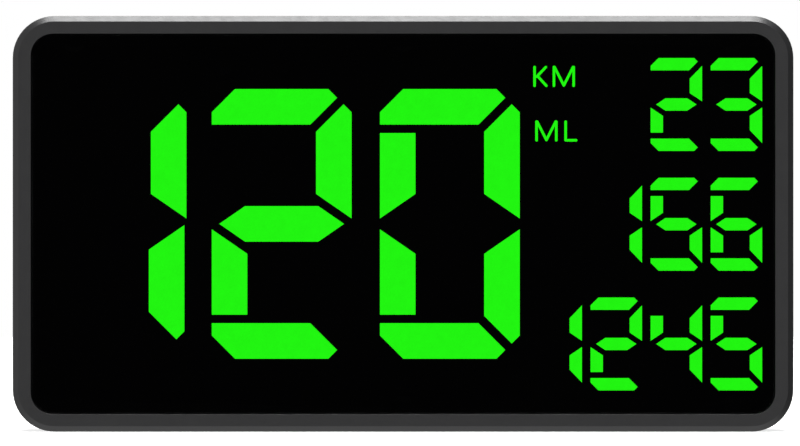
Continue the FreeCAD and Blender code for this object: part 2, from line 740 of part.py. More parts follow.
def make_reflector():
    blank = middle_block(
        "reflector_blank", ("blockWidth", "boardFront - blockFront", "blockHeight"),
        (0, "blockFront", 0),
    )
    near, far = 0.0, SIZE["caseDepth"]
    wells = [prism(corners, near, far) for _, _, corners in segments()]
    wells += [letter_solid(*legend, near, far) for legend in LEGENDS]
    tools = [shape_in_case(Part.makeCompound(wells), "reflector_wells")]
    hole_start = "boardFront + boardThickness - boardScrewLength - fitGap"
    for n, (x, z) in enumerate(board_screw_places()):
        name = f"reflector_screw_hole_{n}"
        tools.append(rod(name, "screwRadius + threadFit", "boardFront", (x, hole_start, z)))
    tools.append(rod("sensor_tunnel", "sensorTunnel", "boardFront", ("sensorAcross", 0, "sensorUp")))
    cutters = doc.addObject("Part::Compound", "reflector_cutters")
    cutters.Links = tools
    keep(minus("segment_reflector", blank, cutters), "segment_reflector")


def lamp_places(corners, count):
    """Points spread along the longer way through a segment's outline."""
    xs = [x for x, _ in corners]
    zs = [z for _, z in corners]
    x, z = (min(xs) + max(xs)) / 2, (min(zs) + max(zs)) / 2
    wide, high = max(xs) - min(xs), max(zs) - min(zs)
    for n in range(count):
        step = 0.8 * (n - (count - 1) / 2) / count
        yield (x + step * wide, z) if wide > high else (x, z + step * high)


def make_lamps():
    """Lamp chips on the board's front: three to a large segment, one to the rest and to a letter."""
    chips = []
    for name, _, corners in segments():
        count = 3 if name == "speed" else 1
        chips += [(x, z, 0.8, 0.5) for x, z in lamp_places(corners, count)]
    chips += [(left, bottom + 0.7, 0.3, 0.6) for _, left, bottom in LEGENDS]
    high = SIZE["lampHeight"]
    solids = []
    for x, z, wide, tall in chips:
        corner = Vector(x - wide / 2, SIZE["boardFront"] - high, z - tall / 2)
        solids.append(Part.makeBox(wide, high, tall, corner))
    keep(shape_in_case(Part.makeCompound(solids), "segment_lamps"), "segment_lamps")


# ---------------------------------------------------------------- circuit board

BOARD_BACK = "boardFront + boardThickness"

# across, off the board, up and down, then the middle: across and up
BOARD_PARTS = {
    "processor_chip": [(10, 1.4, 10, 8, -6)],
    "lamp_driver_chips": [(7.8, 1.5, 5.4, 6, 8), (7.8, 1.5, 5.4, 17, 8)],
    "charger_chip": [(5, 1.3, 4, -46, -19)],
    "power_inductor": [(5.2, 3, 5.2, -38, -19)],
    "clock_crystal": [(7.6, 3, 3.4, 8, -17)],
    "receiver_module": [(9.7, 2.4, 10.1, 28, -5)],
    "antenna_board": [(20, 0.8, 20, 43.5, 14)],
    "battery_connector": [(4.5, 4, 6, 0, 18)],
    "solar_connector": [(4.5, 4, 6, 25, 20)],
}


def make_board():
    board = new_body("main_board")
    outline = front_sketch(board, "board_outline", "boardFront")
    rounded_rectangle(outline, "boardWidth", "blockHeight", "boardRadius")
    grow(board, outline, "boardThickness", "board_plate")
    holes = front_sketch(board, "board_holes", "boardFront")
    for x, z in board_screw_places():
        circle(holes, "screwRadius + solarGap", x, z)
    cut(board, holes, "2 * boardThickness", "board_holes_cut")
    place_in_case(board)
    for label, pieces in BOARD_PARTS.items():
        boxes = [
            middle_block(f"{label}_{n}", (across, off, up), (x, BOARD_BACK, z))
            for n, (across, off, up, x, z) in enumerate(pieces)
        ]
        if len(boxes) == 1:
            keep(boxes[0], label)
        else:
            group(label, boxes)
    cans = [rod(f"capacitor_{n}", 2.5, 5.2, (x, BOARD_BACK, -19)) for n, x in enumerate((-29, -22))]
    group("capacitors", cans)
    sensor_front = "boardFront - sensorHeight"
    sensor = middle_block(
        "light_sensor", (1.6, "sensorHeight", 1.2), ("sensorAcross", sensor_front, "sensorUp")
    )
    keep(sensor, "light_sensor")
    make_screws("board_screws", board_screw_places(), BOARD_BACK, "boardScrewLength")


def make_screws(label, places, seat, length):
    """Pan-head screws driven in from the back, as one group."""
    screws = []
    for n, (x, z) in enumerate(places):
        head = rod(f"{label}_head_{n}", "screwHeadRadius", "screwHeadHeight", (x, seat, z))
        shank = rod(f"{label}_shank_{n}", "screwRadius", length, (x, f"({seat}) - {length}", z))
        screws.append(joined(f"{label}_{n}", [head, shank]))
    group(label, screws)


def make_antenna():
    """The ceramic patch of the satellite receiver and the head of its feed pin."""
    on_top = f"{BOARD_BACK} + {BOARD_PARTS['antenna_board'][0][1]}"
    patch = (18, 4, 18)
    keep(middle_block("patch_antenna", patch, (43.5, on_top, 14)), "patch_antenna")
    keep(rod("antenna_feed", 0.7, 0.3, (44.6, f"{on_top} + {patch[1]}", 15.1)), "antenna_feed")


def make_battery():
    tape = middle_block("battery_tape", (44, "tapeThickness", 28), (-30, BOARD_BACK, 6))
    keep(tape, "battery_tape")
    cell = new_body("battery_cell")
    middle_depth = f"{BOARD_BACK} + tapeThickness + 2.55"
    profile = sketch_on(cell, "YZ_Plane", "cell_profile", middle_depth, 6, -55)
    rounded_rectangle(profile, 5.1, 34, 2.2)
    grow(cell, profile, 50, "cell_block", False)
    place_in_case(cell)


def make_buzzer():
    place_of_buzzer = ("buzzerAcross", BOARD_BACK, "buzzerUp")
    keep(rod("buzzer", "buzzerRadius", 3, place_of_buzzer), "buzzer")


def wire(points, radius):
    """A round lead along straight runs joined by arcs."""
    edges, radii = [], []
    at = points[0]
    for before, corner, after in zip(points, points[1:], points[2:]):
        arriving, leaving = (corner - before).normalize(), (after - corner).normalize()
        run = min(before.distanceToPoint(corner), corner.distanceToPoint(after))
        back = 0.45 * run
        half_turn = arriving.getAngle(leaving) / 2
        bend = back / math.tan(half_turn)
        radii.append(f"{bend:.1f}")
        start, end = corner - arriving * back, corner + leaving * back
        inward = (leaving - arriving).normalize()
        middle = corner + inward * (bend / math.cos(half_turn) - bend)
        edges.append(Part.makeLine(at, start))
        edges.append(Part.Arc(start, middle, end).toShape())
        at = end
    edges.append(Part.makeLine(at, points[-1]))
    path = Part.Wire(edges)
    ring = Part.Wire(Part.makeCircle(radius, points[0], points[1] - points[0]))
    pipe = path.makePipeShell([ring], True, True)
    if abs(pipe.Volume / (math.pi * radius**2 * path.Length) - 1) > 0.02:
        raise ValueError("a lead has the wrong volume")
    print(f"a lead {2 * radius} thick bends with radii {', '.join(radii)}")
    return pipe


def make_leads():
    """Insulated leads inside the case, from the cell and from the solar panel to the board."""
    battery = [
        wire([
            Vector(-5.0, 10.25, z), Vector(-2.6 + 1.9 * n, 10.25, z),
            Vector(-2.4 + 3.1 * n, 10.0, 11.5 - n), Vector(-0.9 + 1.8 * n, 9.6, 13.2),
            Vector(-0.9 + 1.8 * n, 9.6, 15.0),
        ], 0.5)
        for n, z in enumerate((4.9, 6.6))
    ]
    keep(shape_in_case(Part.makeCompound(battery), "battery_leads"), "battery_leads")
    panel = amount("caseDepth - solarRecess + solarTape")
    solar = [
        wire([
            Vector(x, panel, 22.8), Vector(x, 12.9, 22.8), Vector(x + 0.3, 11.9, 26.0),
            Vector(x + 1.6, 9.6, 26.2), Vector(x + 1.6, 9.6, 23.0),
        ], 0.45)
        for x in (22.4, 23.7)
    ]
    keep(shape_in_case(Part.makeCompound(solar), "solar_leads"), "solar_leads")


# ---------------------------------------------------------------- solar panel


def make_solar_panel():
    floor = "caseDepth - solarRecess"
    tape = middle_block(
        "solar_tape", ("solarWidth - 14", "solarTape", "solarHeight - 10"),
        ("solarAcross - 4", floor, "solarUp - 1"),
    )
    keep(tape, "solar_tape")
    board = new_body("solar_board")
    outline = front_sketch(board, "solar_outline", f"{floor} + solarTape", "solarAcross", "solarUp")
    rounded_rectangle(outline, "solarWidth", "solarHeight", "solarRadius")
    grow(board, outline, "solarBoard", "solar_plate")
    place_in_case(board)

    cell_front = f"{floor} + solarTape + solarBoard"
    count = 8
    cells = [
        middle_block(
            f"solar_cell_{n}", ("cellWidth", "cellThickness", "solarHeight - 2 * cellMargin"),
            (f"solarAcross + {n - (count - 1) / 2} * cellPitch", cell_front, "solarUp"),
        )
        for n in range(count)
    ]
    group("solar_cells", cells)
    ribbons = [
        middle_block(
            f"solar_ribbon_{n}_{end + 1}", ("cellPitch - 1.4", "ribbonThickness", 1.2),
            (f"solarAcross + {n - (count - 2) / 2} * cellPitch", f"{cell_front} + cellThickness",
             f"solarUp + {end} * solarHeight / 4"),
        )
        for n in range(count - 1) for end in (-1, 1)
    ]
    group("solar_ribbons", ribbons)

    glaze = new_body("solar_glaze")
    face = front_sketch(glaze, "glaze_outline", cell_front, "solarAcross", "solarUp")
    rounded_rectangle(face, "solarWidth - fitGap", "solarHeight - fitGap", "solarRadius")
    grow(glaze, face, "glazeThickness", "glaze_plate")
    room = front_sketch(glaze, "cell_room", cell_front, "solarAcross", "solarUp")
    rounded_rectangle(room, "solarWidth - 2 * glazeRim", "solarHeight - 2 * glazeRim", "solarRadius")
    cut(glaze, room, "cellThickness + 2 * ribbonThickness", "cell_room_cut")
    place_in_case(glaze)


# ---------------------------------------------------------------- side controls


def make_charging_socket():
    shell = new_body("socket_shell")
    profile = sketch_on(
        shell, "YZ_Plane", "shell_profile", "controlDepth", "socketUp", "socketMouth"
    )
    rounded_rectangle(profile, "socketThickness", "socketWidth", "socketThickness / 2 - fitGap")
    rounded_rectangle(
        profile, "socketThickness - 2 * socketSheet", "socketWidth - 2 * socketSheet",
        "socketThickness / 2 - fitGap - socketSheet",
    )
    grow(shell, profile, "socketLength", "shell_tube", False)
    place_in_case(shell)
    core_size, core_end = (1.5, 2.5, 6.4), "socketMouth + socketLength - 0.8"
    core = middle_block("socket_core", core_size, (core_end, "controlDepth - 1.25", "socketUp"))
    tongue_size, tongue_middle = (5.2, 0.7, 6.6), "socketMouth + 3.6"
    tongue = middle_block(
        "socket_tongue", tongue_size, (tongue_middle, "controlDepth - 0.35", "socketUp")
    )
    keep(joined("socket_insert", [core, tongue]), "socket_insert")


def control_block(name, sizes, across, up):
    """A block at the depth of the controls, given its sizes and the middle of its X and Z."""
    return middle_block(name, sizes, (across, f"controlDepth - ({sizes[1]}) / 2", up))


def make_jog_lever():
    """A thumb lever that rocks up and down about a pin, in a carrier that can be pressed in."""
    body = control_block("jog_can", (6.5, "switchDepth", "jogCapHeight"), "jogFront - 3.25", "jogUp")
    room = control_block("jog_room", (6.5, 2.4, 3.4), "jogFront - 2.65", "jogUp")
    keep(minus("jog_switch_body", body, room), "jog_switch_body")

    plate = control_block("carrier_plate", (0.4, 2.2, 2.0), "jogPivot - 1.5", "jogUp")
    cheeks = [
        middle_block(f"carrier_cheek_{n}", (2.5, 0.35, 1.8), ("jogPivot - 0.45", front, "jogUp"))
        for n, front in enumerate(("controlDepth - 1.1", "controlDepth + 0.75"))
    ]
    pin = rod("carrier_pin", 0.45, 2.2, ("jogPivot", "controlDepth - 1.1", "jogUp"))
    keep(joined("jog_carrier", [plate, *cheeks, pin]), "jog_carrier")

    hub = rod("lever_hub", 1.0, 1.4, ("jogPivot", "controlDepth - 0.7", "jogUp"))
    stem = control_block("lever_stem", (4.9, 1.0, 1.2), "jogPivot + 2.85", "jogUp")
    outer = "caseWidth / 2 - recess"
    cap = control_block(
        "lever_cap", ("jogCapLength", "switchDepth - 2 * fitGap", "jogCapHeight"),
        f"{outer} - jogCapLength / 2", "jogUp",
    )
    nub = rod("lever_nub", 1.1, "recess - fitGap", (outer, "controlDepth", "jogUp"), "across")
    solid = joined("lever_solid", [hub, stem, cap, nub])
    bore = rod("lever_bore", 0.5, 2, ("jogPivot", "controlDepth - 1", "jogUp"))
    bored = minus("lever_bored", solid, bore)
    doc.recompute()
    rounded = doc.addObject("Part::Fillet", "lever_rounded")
    rounded.Base = bored
    on_rim = flat_at("X", outer)
    rim = [
        n for n, edge in enumerate(bored.Shape.Edges, 1)
        if on_rim(edge.BoundBox) and isinstance(edge.Curve, Part.Line)
    ]
    rounded.Edges = [(n, 0.45, 0.45) for n in rim]
    keep(rounded, "jog_lever")


def make_power_switch():
    """A slide switch.  It stands at the upper end of its travel, switched on."""
    on = "powerUp + powerTravel / 2"
    body = control_block("power_can", (3.6, "switchDepth", 9.2), 59.2, "powerUp")
    slot = control_block("power_slot", (3.6, 1.4, "powerTravel + 2.3"), 61.0, "powerUp")
    keep(minus("power_switch_body", body, slot), "power_switch_body")

    post = control_block("power_post", (3.2, 1.2, 2.0), 61.1, on)
    flange = control_block("power_flange", (0.7, 4.0, 6.4), 62.7, on)
    outer = "caseWidth / 2 - recess"
    thumb = control_block(
        "power_thumb", (2.9, "powerKnobDepth", "powerKnob"), f"{outer} - 1.45", on
    )
    solid = joined("power_solid", [post, flange, thumb])
    grooves = [
        control_block(f"power_groove_{n}", (0.6, "switchDepth", 0.4), outer, f"{on} + {n - 1}")
        for n in range(3)
    ]
    keep(minus("power_knob", solid, joined("power_grooves", grooves)), "power_knob")


# ---------------------------------------------------------------- foot and hinge


def make_foot():
    body = new_body("foot_plate")
    depth = "overallDepth - footStart"
    outline = sketch_on(
        body, "XY_Plane", "foot_outline", 0, "(overallDepth + footStart) / 2", "footUnder"
    )
    rounded_rectangle(outline, "footWidth", depth, "footRadius")
    grow(body, outline, "footThickness", "foot_block", False)
    soften(body, "Fillet", "footRounding", "foot_rounding", flat_at("Z", "footUnder + footThickness"))
    for name, side in (("left", -1), ("right", 1)):
        for which, edge in (("inner", -side), ("outer", side)):
            add_ear(body, f"{name}_{which}", side, edge)
    bore = sketch_on(
        body, "YZ_Plane", "ear_bore", "caseDepth + hingeBack", "hingeUp", "-footWidth / 2"
    )
    circle(bore, "hingePinRadius + earFit")
    cut(body, bore, "footWidth", "ear_bore_cut", True)
    pocket = sketch_on(body, "XY_Plane", "weight_pocket", 0, "weightMiddle", "footUnder")
    rounded_rectangle(
        pocket, "weightWidth + 2 * weightGap", "weightDepth + 2 * weightGap", "weightRadius + weightGap"
    )
    cut(body, pocket, "weightThickness + weightGap", "weight_pocket_cut", True)
    place(body, 0, "-overallDepth / 2", 0)


def add_ear(body, name, side, edge):
    """One ear of the hinge: a round head about the axis, with a web that slopes down to the foot."""
    middle = f"{side} * barrelMiddle + {edge} * (barrelWidth / 2 + earGap + earWidth / 2)"
    sketch = sketch_on(
        body, "YZ_Plane", f"ear_{name}", "caseDepth + hingeBack", "hingeUp", f"{middle} - earWidth / 2"
    )
    r = amount("barrelRadius")
    web_end = "footUnder + footThickness - footRounding / 10 - hingeUp"
    run, top = amount("earRun"), amount(web_end)
    begin = math.pi / 2 - math.atan2(-top, run)
    arc = Part.ArcOfCircle(Part.Circle(Vector(), Vector(0, 0, 1), r), begin, math.pi * 1.5)
    sketch.addGeometry(arc)
    corners = [
        Vector(0, -r, 0), Vector(run, -r, 0), Vector(run, top, 0),
        Vector(r * math.cos(begin), r * math.sin(begin), 0),
    ]
    for start, end in zip(corners, corners[1:]):
        sketch.addGeometry(Part.LineSegment(start, end))
    close_round_outline(sketch, "barrelRadius")
    dimension(sketch, "DistanceX", "earRun", -1, 1, 2, 1)
    dimension(sketch, "DistanceY", web_end, -1, 1, 2, 2)
    grow(body, sketch, "earWidth", f"ear_{name}_pad", False)


def make_foot_fittings():
    weight = new_body("foot_weight")
    outline = sketch_on(weight, "XY_Plane", "weight_outline", 0, "weightMiddle", "footUnder")
    rounded_rectangle(outline, "weightWidth", "weightDepth", "weightRadius")
    grow(weight, outline, "weightThickness", "weight_plate", False)
    place(weight, 0, "-overallDepth / 2", 0)
    pad = new_body("foot_pad")
    outline = sketch_on(pad, "XY_Plane", "pad_outline", 0, "padMiddle", 0)
    rounded_rectangle(outline, "padWidth", "padDepth", "padRadius")
    grow(pad, outline, "footUnder", "pad_sheet", False)
    place(pad, 0, "-overallDepth / 2", 0)


def make_hinge_hardware():
    """At each side a shoulder screw, a nut on its inner end and a friction washer in each gap."""
    back, up = "caseDepth + hingeBack", "hingeUp - caseHeight / 2"
    half_grip = "(barrelWidth / 2 + earGap + earWidth)"
    pins, nuts, washers = [], [], []
    for name, side in (("left", -1), ("right", 1)):

        def along(distance, name, radius, length):
            """A rod at a distance outwards from the inner end of the grip."""
            start = f"{side} * (barrelMiddle - {half_grip} + ({distance})) - {(1 - side) // 2} * ({length})"
            return rod(name, radius, length, (start, back, up), "across")

        shaft_length = f"nutHeight + pinEnd + 2 * {half_grip}"
        shaft = along("-nutHeight - pinEnd", f"pin_shaft_{name}", "hingePinRadius", shaft_length)
        head = along(f"2 * {half_grip}", f"pin_head_{name}", "pinHeadRadius", "pinHeadHeight")
        pins.append(joined(f"hinge_pin_{name}", [shaft, head]))

        blank = doc.addObject("Part::Prism", f"nut_blank_{name}")
        blank.Polygon = 6
        bind(blank, "Circumradius", "nutRadius")
        bind(blank, "Height", "nutHeight")
        blank.Placement = Placement(Vector(), Rotation(Vector(0, 1, 0), 90))
        nut_start = f"{side} * (barrelMiddle - {half_grip}) - {(1 + side) // 2} * nutHeight"
        place_in_case(blank, nut_start, back, up)
        hole = along("-2 * nutHeight", f"nut_hole_{name}", "hingePinRadius + earFit", "3 * nutHeight")
        nuts.append(minus(f"hinge_nut_{name}", blank, hole))

        gap_start = "earWidth + (earGap - washerThickness) / 2"
        for place_name, start in (("inner", gap_start), ("outer", f"{gap_start} + earGap + barrelWidth")):
            full = f"{name}_{place_name}"
            disc = along(start, f"washer_disc_{full}", "washerRadius", "washerThickness")
            eye = along(start, f"washer_eye_{full}", "hingePinRadius + washerFit", "washerThickness")
            washers.append(minus(f"friction_washer_{full}", disc, eye))
    group("hinge_pins", pins)
    group("hinge_nuts", nuts)
    group("friction_washers", washers)


# ---------------------------------------------------------------- build and write


def check_and_write():
    doc.recompute()
    failed = [o.Label for o in doc.Objects if {"Invalid", "Error"} & set(o.State)]
    if failed:
        raise ValueError(f"these objects failed: {failed}")
    for made in doc.Objects:
        shape = getattr(made, "Shape", None)
        if shape is not None and not shape.isNull() and not shape.isValid():
            raise ValueError(f"{made.Label} has an invalid shape")
    os.makedirs("parts", exist_ok=True)
    for old in os.listdir("parts"):
        os.remove(os.path.join("parts", old))
    for part in finished:
        shape = part.Shape
        if shape.isNull() or not shape.isValid() or not shape.Solids:
            raise ValueError(f"{part.Label} has no valid solid")
        shape.exportStep(f"parts/{part.Label}.step")
        print(f"{part.Label}: {len(shape.Solids)} solids, {shape.Volume:.2f} cubic millimetres")


fill_sheet()
make_front_bezel()
make_lens_and_tape()
make_light_bars()
make_reflector()
make_lamps()
make_board()
make_antenna()
make_battery()
make_buzzer()
make_leads()
make_solar_panel()
make_charging_socket()
make_jog_lever()
make_power_switch()
make_rear_cover()
make_screws("case_screws", case_screw_places(), "screwSeat", "caseScrewLength")
make_foot()
make_foot_fittings()
make_hinge_hardware()
check_and_write()
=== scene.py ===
import json
import math

import bmesh
import bpy
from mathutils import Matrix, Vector


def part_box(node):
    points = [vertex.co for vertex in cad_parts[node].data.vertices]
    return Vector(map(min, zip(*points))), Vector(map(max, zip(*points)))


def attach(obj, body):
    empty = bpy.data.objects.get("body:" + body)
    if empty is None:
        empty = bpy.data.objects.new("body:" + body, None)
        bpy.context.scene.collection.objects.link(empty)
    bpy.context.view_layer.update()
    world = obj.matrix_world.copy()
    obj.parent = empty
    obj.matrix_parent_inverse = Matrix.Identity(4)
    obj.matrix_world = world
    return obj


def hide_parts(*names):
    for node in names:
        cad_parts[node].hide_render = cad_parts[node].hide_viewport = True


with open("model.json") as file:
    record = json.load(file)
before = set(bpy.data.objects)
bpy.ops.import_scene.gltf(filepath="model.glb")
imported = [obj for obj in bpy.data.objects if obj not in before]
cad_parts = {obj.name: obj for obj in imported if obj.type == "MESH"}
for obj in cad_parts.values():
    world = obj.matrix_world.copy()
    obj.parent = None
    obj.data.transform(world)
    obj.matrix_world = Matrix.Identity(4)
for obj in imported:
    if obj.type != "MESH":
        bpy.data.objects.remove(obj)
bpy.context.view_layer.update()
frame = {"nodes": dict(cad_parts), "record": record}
nodes = frame["nodes"]

mm = 0.001


def middleOf(node):
    low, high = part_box(node)
    return (low + high) / 2


# camera: a long lens straight in front of the display

cameraSettings = {
    "lens": 300.0, "sensor": 36.0,               # millimetres
    "nearest": 0.05, "farthest": 30.0,           # what it can see, in metres
    "viewWidth": 133.68 * mm,                    # how much of the front face it takes in
    "aim": (-0.51 * mm, 0.5 * mm, 0.146 * mm),   # from the middle of the front face
}


def makeCamera(settings):
    data = bpy.data.cameras.new("camera")
    data.lens = settings["lens"]
    data.sensor_width = settings["sensor"]
    data.clip_start = settings["nearest"]
    data.clip_end = settings["farthest"]
    camera = bpy.data.objects.new("camera", data)
    bpy.context.scene.collection.objects.link(camera)
    low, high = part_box("front_bezel")
    front = Vector(((low.x + high.x) / 2, low.y, (low.z + high.z) / 2))
    distance = settings["viewWidth"] * data.lens / data.sensor_width
    camera.location = front + Vector(settings["aim"]) - Vector((0, distance, 0))
    camera.rotation_euler = (math.pi / 2, 0, 0)
    bpy.context.scene.camera = camera


makeCamera(cameraSettings)
print("camera placed")


# small helpers for node trees

def pickSocket(sockets, key):
    if isinstance(key, int):
        return sockets[key]
    return next(s for s in sockets if s.name == key and s.enabled)


def addNode(tree, kind, inputs=None, **settings):
    node = tree.nodes.new(kind)
    for name, value in settings.items():
        setattr(node, name, value)
    for key, value in (inputs or {}).items():
        socket = pickSocket(node.inputs, key)
        if isinstance(value, bpy.types.NodeSocket):
            tree.links.new(value, socket)
        else:
            socket.default_value = value
    return node


def outOf(node, key=0):
    return pickSocket(node.outputs, key)


def calc(tree, operation, *values):
    inputs = dict(enumerate(values))
    return outOf(addNode(tree, "ShaderNodeMath", inputs, operation=operation))


def noise(tree, place, size, detail):
    return outOf(addNode(tree, "ShaderNodeTexNoise", {
        "Vector": place, "Scale": 1 / size, "Detail": detail,
    }))


def spread(tree, factor, low, high):
    return outOf(addNode(tree, "ShaderNodeMapRange", {
        "Value": factor, "From Min": noiseMiddle[0], "From Max": noiseMiddle[1],
        "To Min": low, "To Max": high,
    }), "Result")


def mixColors(tree, factor, first, second):
    node = addNode(
        tree, "ShaderNodeMix", {"Factor": factor, "A": first, "B": second}, data_type="RGBA"
    )
    return outOf(node, "Result")


def tone(color, factor):
    return (*(min(1.0, channel * factor) for channel in color), 1.0)


# finishes, one for each material slot of the record

noiseMiddle = (0.3, 0.7)      # noise seldom leaves these bounds, so they are stretched to the full range
fineDetail = 3.0              # octaves of noise
edgeSamples = 8               # of the softening of edges
wearLook = {
    "reach": 0.25 * mm, "samples": 6, "patch": 1.5 * mm, "detail": 4.0,
    "sharpness": 6.0,         # how fast a turn of the surface counts as an edge
    "lighter": 2.0, "smoother": 0.12,
}
cellShare = 0.25              # of a cell's shade that is its own, the rest being its crystals'

basicLook = {
    "color": (0.5, 0.5, 0.5), "variation": 0.10, "patch": 5 * mm,
    "rough": 0.5, "roughSpread": 0.05, "roughPatch": 0.4,   # the last as a share of patch
    "grain": 0.35 * mm, "relief": 0.004 * mm,    # width and height of the moulded grain
    "edge": 0.0,                                # radius that softens its edges
    "wear": 0.0,                                # how much its edges are rubbed smooth
    "metal": 0.0, "specular": 0.5, "coat": 0.0, "coatRough": 0.08, "alpha": 1.0, "glow": 0.0,
    "pattern": "clouds", "stretch": (1.0, 1.0, 1.0), "turn": (0.0, 0.0, 0.0),
}

finishLooks = {
    "case_plastic": {
        "color": (0.020, 0.020, 0.021), "rough": 0.38, "grain": 0.30 * mm, "relief": 0.014 * mm,
        "patch": 3 * mm, "variation": 0.06, "roughSpread": 0.035, "edge": 0.14 * mm, "wear": 0.35,
    },
    "smoked_lens": {
        "color": (0.0005, 0.0005, 0.0006), "rough": 0.05, "roughSpread": 0.01, "grain": 3 * mm,
        "relief": 0.0001 * mm, "specular": 0.2, "alpha": 0.68, "edge": 0.12 * mm,
    },
    "black_adhesive": {
        "color": (0.0035, 0.0035, 0.0035), "rough": 0.8, "grain": 0.15 * mm, "specular": 0.15,
    },
    "black_reflector": {"color": (0.0012, 0.0012, 0.0013), "rough": 0.8, "specular": 0.1},
    "lit_segment": {
        "color": (0.016, 0.939, 0.0056), "rough": 0.35, "variation": 0.02, "patch": 1.2 * mm,
        "glow": 9.2, "specular": 0.1, "relief": 0.0005 * mm,
    },
    "lit_legend": {
        "color": (0.016, 0.939, 0.0056), "rough": 0.35, "variation": 0.02, "patch": 0.8 * mm,
        "glow": 9.2, "specular": 0.1, "relief": 0.0005 * mm,
    },
    "dark_segment": {
        "color": (0.0010, 0.0012, 0.0010), "rough": 0.5, "specular": 0.1, "relief": 0.0005 * mm,
    },
    "lamp_chip": {"color": (0.72, 0.74, 0.55), "rough": 0.4, "patch": 0.6 * mm, "coat": 0.4},
    "board_laminate": {
        "color": (0.010, 0.075, 0.028), "rough": 0.38, "pattern": "traces", "patch": 1.6 * mm,
        "variation": 0.45, "coat": 0.4, "turn": (math.pi / 2, 0.0, 0.0), "relief": 0.01 * mm,
    },
    "chip_black": {"color": (0.014, 0.014, 0.015), "rough": 0.6, "grain": 0.12 * mm, "edge": 0.08 * mm},
    "ferrite": {"color": (0.045, 0.043, 0.042), "rough": 0.7, "grain": 0.2 * mm, "relief": 0.012 * mm},
    "plated_steel": {
        "color": (0.62, 0.63, 0.64), "metal": 1.0, "rough": 0.28, "roughSpread": 0.08,
        "stretch": (0.15, 1.0, 1.0), "grain": 0.12 * mm, "relief": 0.0012 * mm, "edge": 0.1 * mm,
    },
    "connector_nylon": {"color": (0.78, 0.74, 0.64), "rough": 0.5, "grain": 0.3 * mm, "edge": 0.1 * mm},
    "aluminium_can": {
        "color": (0.77, 0.78, 0.79), "metal": 1.0, "rough": 0.3, "stretch": (1.0, 0.1, 1.0),
        "relief": 0.0012 * mm,
    },
    "sensor_clear": {"color": (0.30, 0.32, 0.36), "rough": 0.12, "coat": 0.8, "patch": 1 * mm},
    "antenna_ceramic": {"color": (0.60, 0.52, 0.40), "rough": 0.55, "grain": 0.18 * mm},
    "solder": {"color": (0.70, 0.71, 0.72), "metal": 1.0, "rough": 0.25, "grain": 0.5 * mm},
    "white_tape": {"color": (0.80, 0.80, 0.77), "rough": 0.8, "grain": 0.25 * mm, "relief": 0.015 * mm},
    "battery_pouch": {
        "color": (0.66, 0.67, 0.69), "metal": 0.85, "rough": 0.34, "grain": 1.8 * mm,
        "relief": 0.03 * mm, "edge": 0.3 * mm,
    },
    "lead_red": {"color": (0.42, 0.015, 0.012), "rough": 0.42, "patch": 2 * mm, "relief": 0.002 * mm},
    "panel_board": {
        "color": (0.82, 0.83, 0.82), "rough": 0.45, "pattern": "traces", "patch": 2.4 * mm,
        "variation": 0.08, "turn": (math.pi / 2, 0.0, 0.0), "coat": 0.3,
    },
    "silicon": {
        "color": (0.008, 0.019, 0.085), "variation": 0.60, "pattern": "crystals", "patch": 3.0 * mm,
        "rough": 0.30, "roughSpread": 0.10, "coat": 0.5, "specular": 0.3, "metal": 0.2,
        "grain": 0.8 * mm, "relief": 0.001 * mm,
    },
    "panel_glaze": {
        "color": (0.30, 0.34, 0.36), "rough": 0.08, "roughSpread": 0.03, "alpha": 0.06,
        "grain": 2.5 * mm, "relief": 0.003 * mm, "edge": 0.15 * mm,
    },
    "socket_plastic": {"color": (0.010, 0.010, 0.011), "rough": 0.5, "grain": 0.15 * mm},
    "control_plastic": {
        "color": (0.034, 0.034, 0.036), "rough": 0.33, "grain": 0.15 * mm, "relief": 0.0015 * mm,
        "edge": 0.1 * mm, "wear": 0.6,
    },
    "black_screw": {
        "color": (0.035, 0.035, 0.038), "metal": 0.8, "rough": 0.32, "roughSpread": 0.10,
        "patch": 0.8 * mm, "grain": 0.1 * mm, "relief": 0.002 * mm, "edge": 0.07 * mm, "wear": 1.0,
    },
    "weight_steel": {
        "color": (0.46, 0.46, 0.47), "metal": 1.0, "rough": 0.4, "stretch": (0.1, 1.0, 1.0),
        "grain": 0.2 * mm, "relief": 0.004 * mm,
    },
    "grip_rubber": {
        "color": (0.013, 0.013, 0.013), "rough": 0.86, "roughSpread": 0.08, "grain": 0.3 * mm,
        "relief": 0.012 * mm, "specular": 0.3, "edge": 0.1 * mm,
    },
    "washer_nylon": {"color": (0.74, 0.72, 0.66), "rough": 0.48, "grain": 0.3 * mm, "edge": 0.05 * mm},
    "gold_contact": {
        "color": (0.95, 0.66, 0.25), "metal": 1.0, "rough": 0.24, "patch": 0.4 * mm,
        "grain": 0.1 * mm, "relief": 0.0006 * mm,
    },
    "silver_paste": {
        "color": (0.72, 0.73, 0.74), "metal": 0.7, "rough": 0.5, "patch": 1 * mm,
        "grain": 0.08 * mm, "relief": 0.002 * mm,
    },
}


def crystalFactor(tree, place, look):
    # flat crystals of many shades, and a shade of its own for each cell
    crystals = addNode(
        tree, "ShaderNodeTexVoronoi", {"Vector": place, "Scale": 1 / look["patch"], "Randomness": 1.0}
    )
    shade = outOf(addNode(tree, "ShaderNodeSeparateColor", {"Color": outOf(crystals, "Color")}), "Red")
    cell = outOf(addNode(tree, "ShaderNodeAttribute", attribute_name="shade"), "Fac")
    return calc(
        tree, "ADD", calc(tree, "MULTIPLY", shade, 1 - cellShare), calc(tree, "MULTIPLY", cell, cellShare)
    )


def traceFactor(tree, place, look):
    # conductors seen through the lacquer, as long thin bricks
    bricks = addNode(tree, "ShaderNodeTexBrick", {
        "Vector": place, "Scale": 1 / look["patch"], "Mortar Size": 0.09, "Mortar Smooth": 0.1,
        "Brick Width": 2.4, "Row Height": 0.5,
    })
    return outOf(bricks, "Fac")


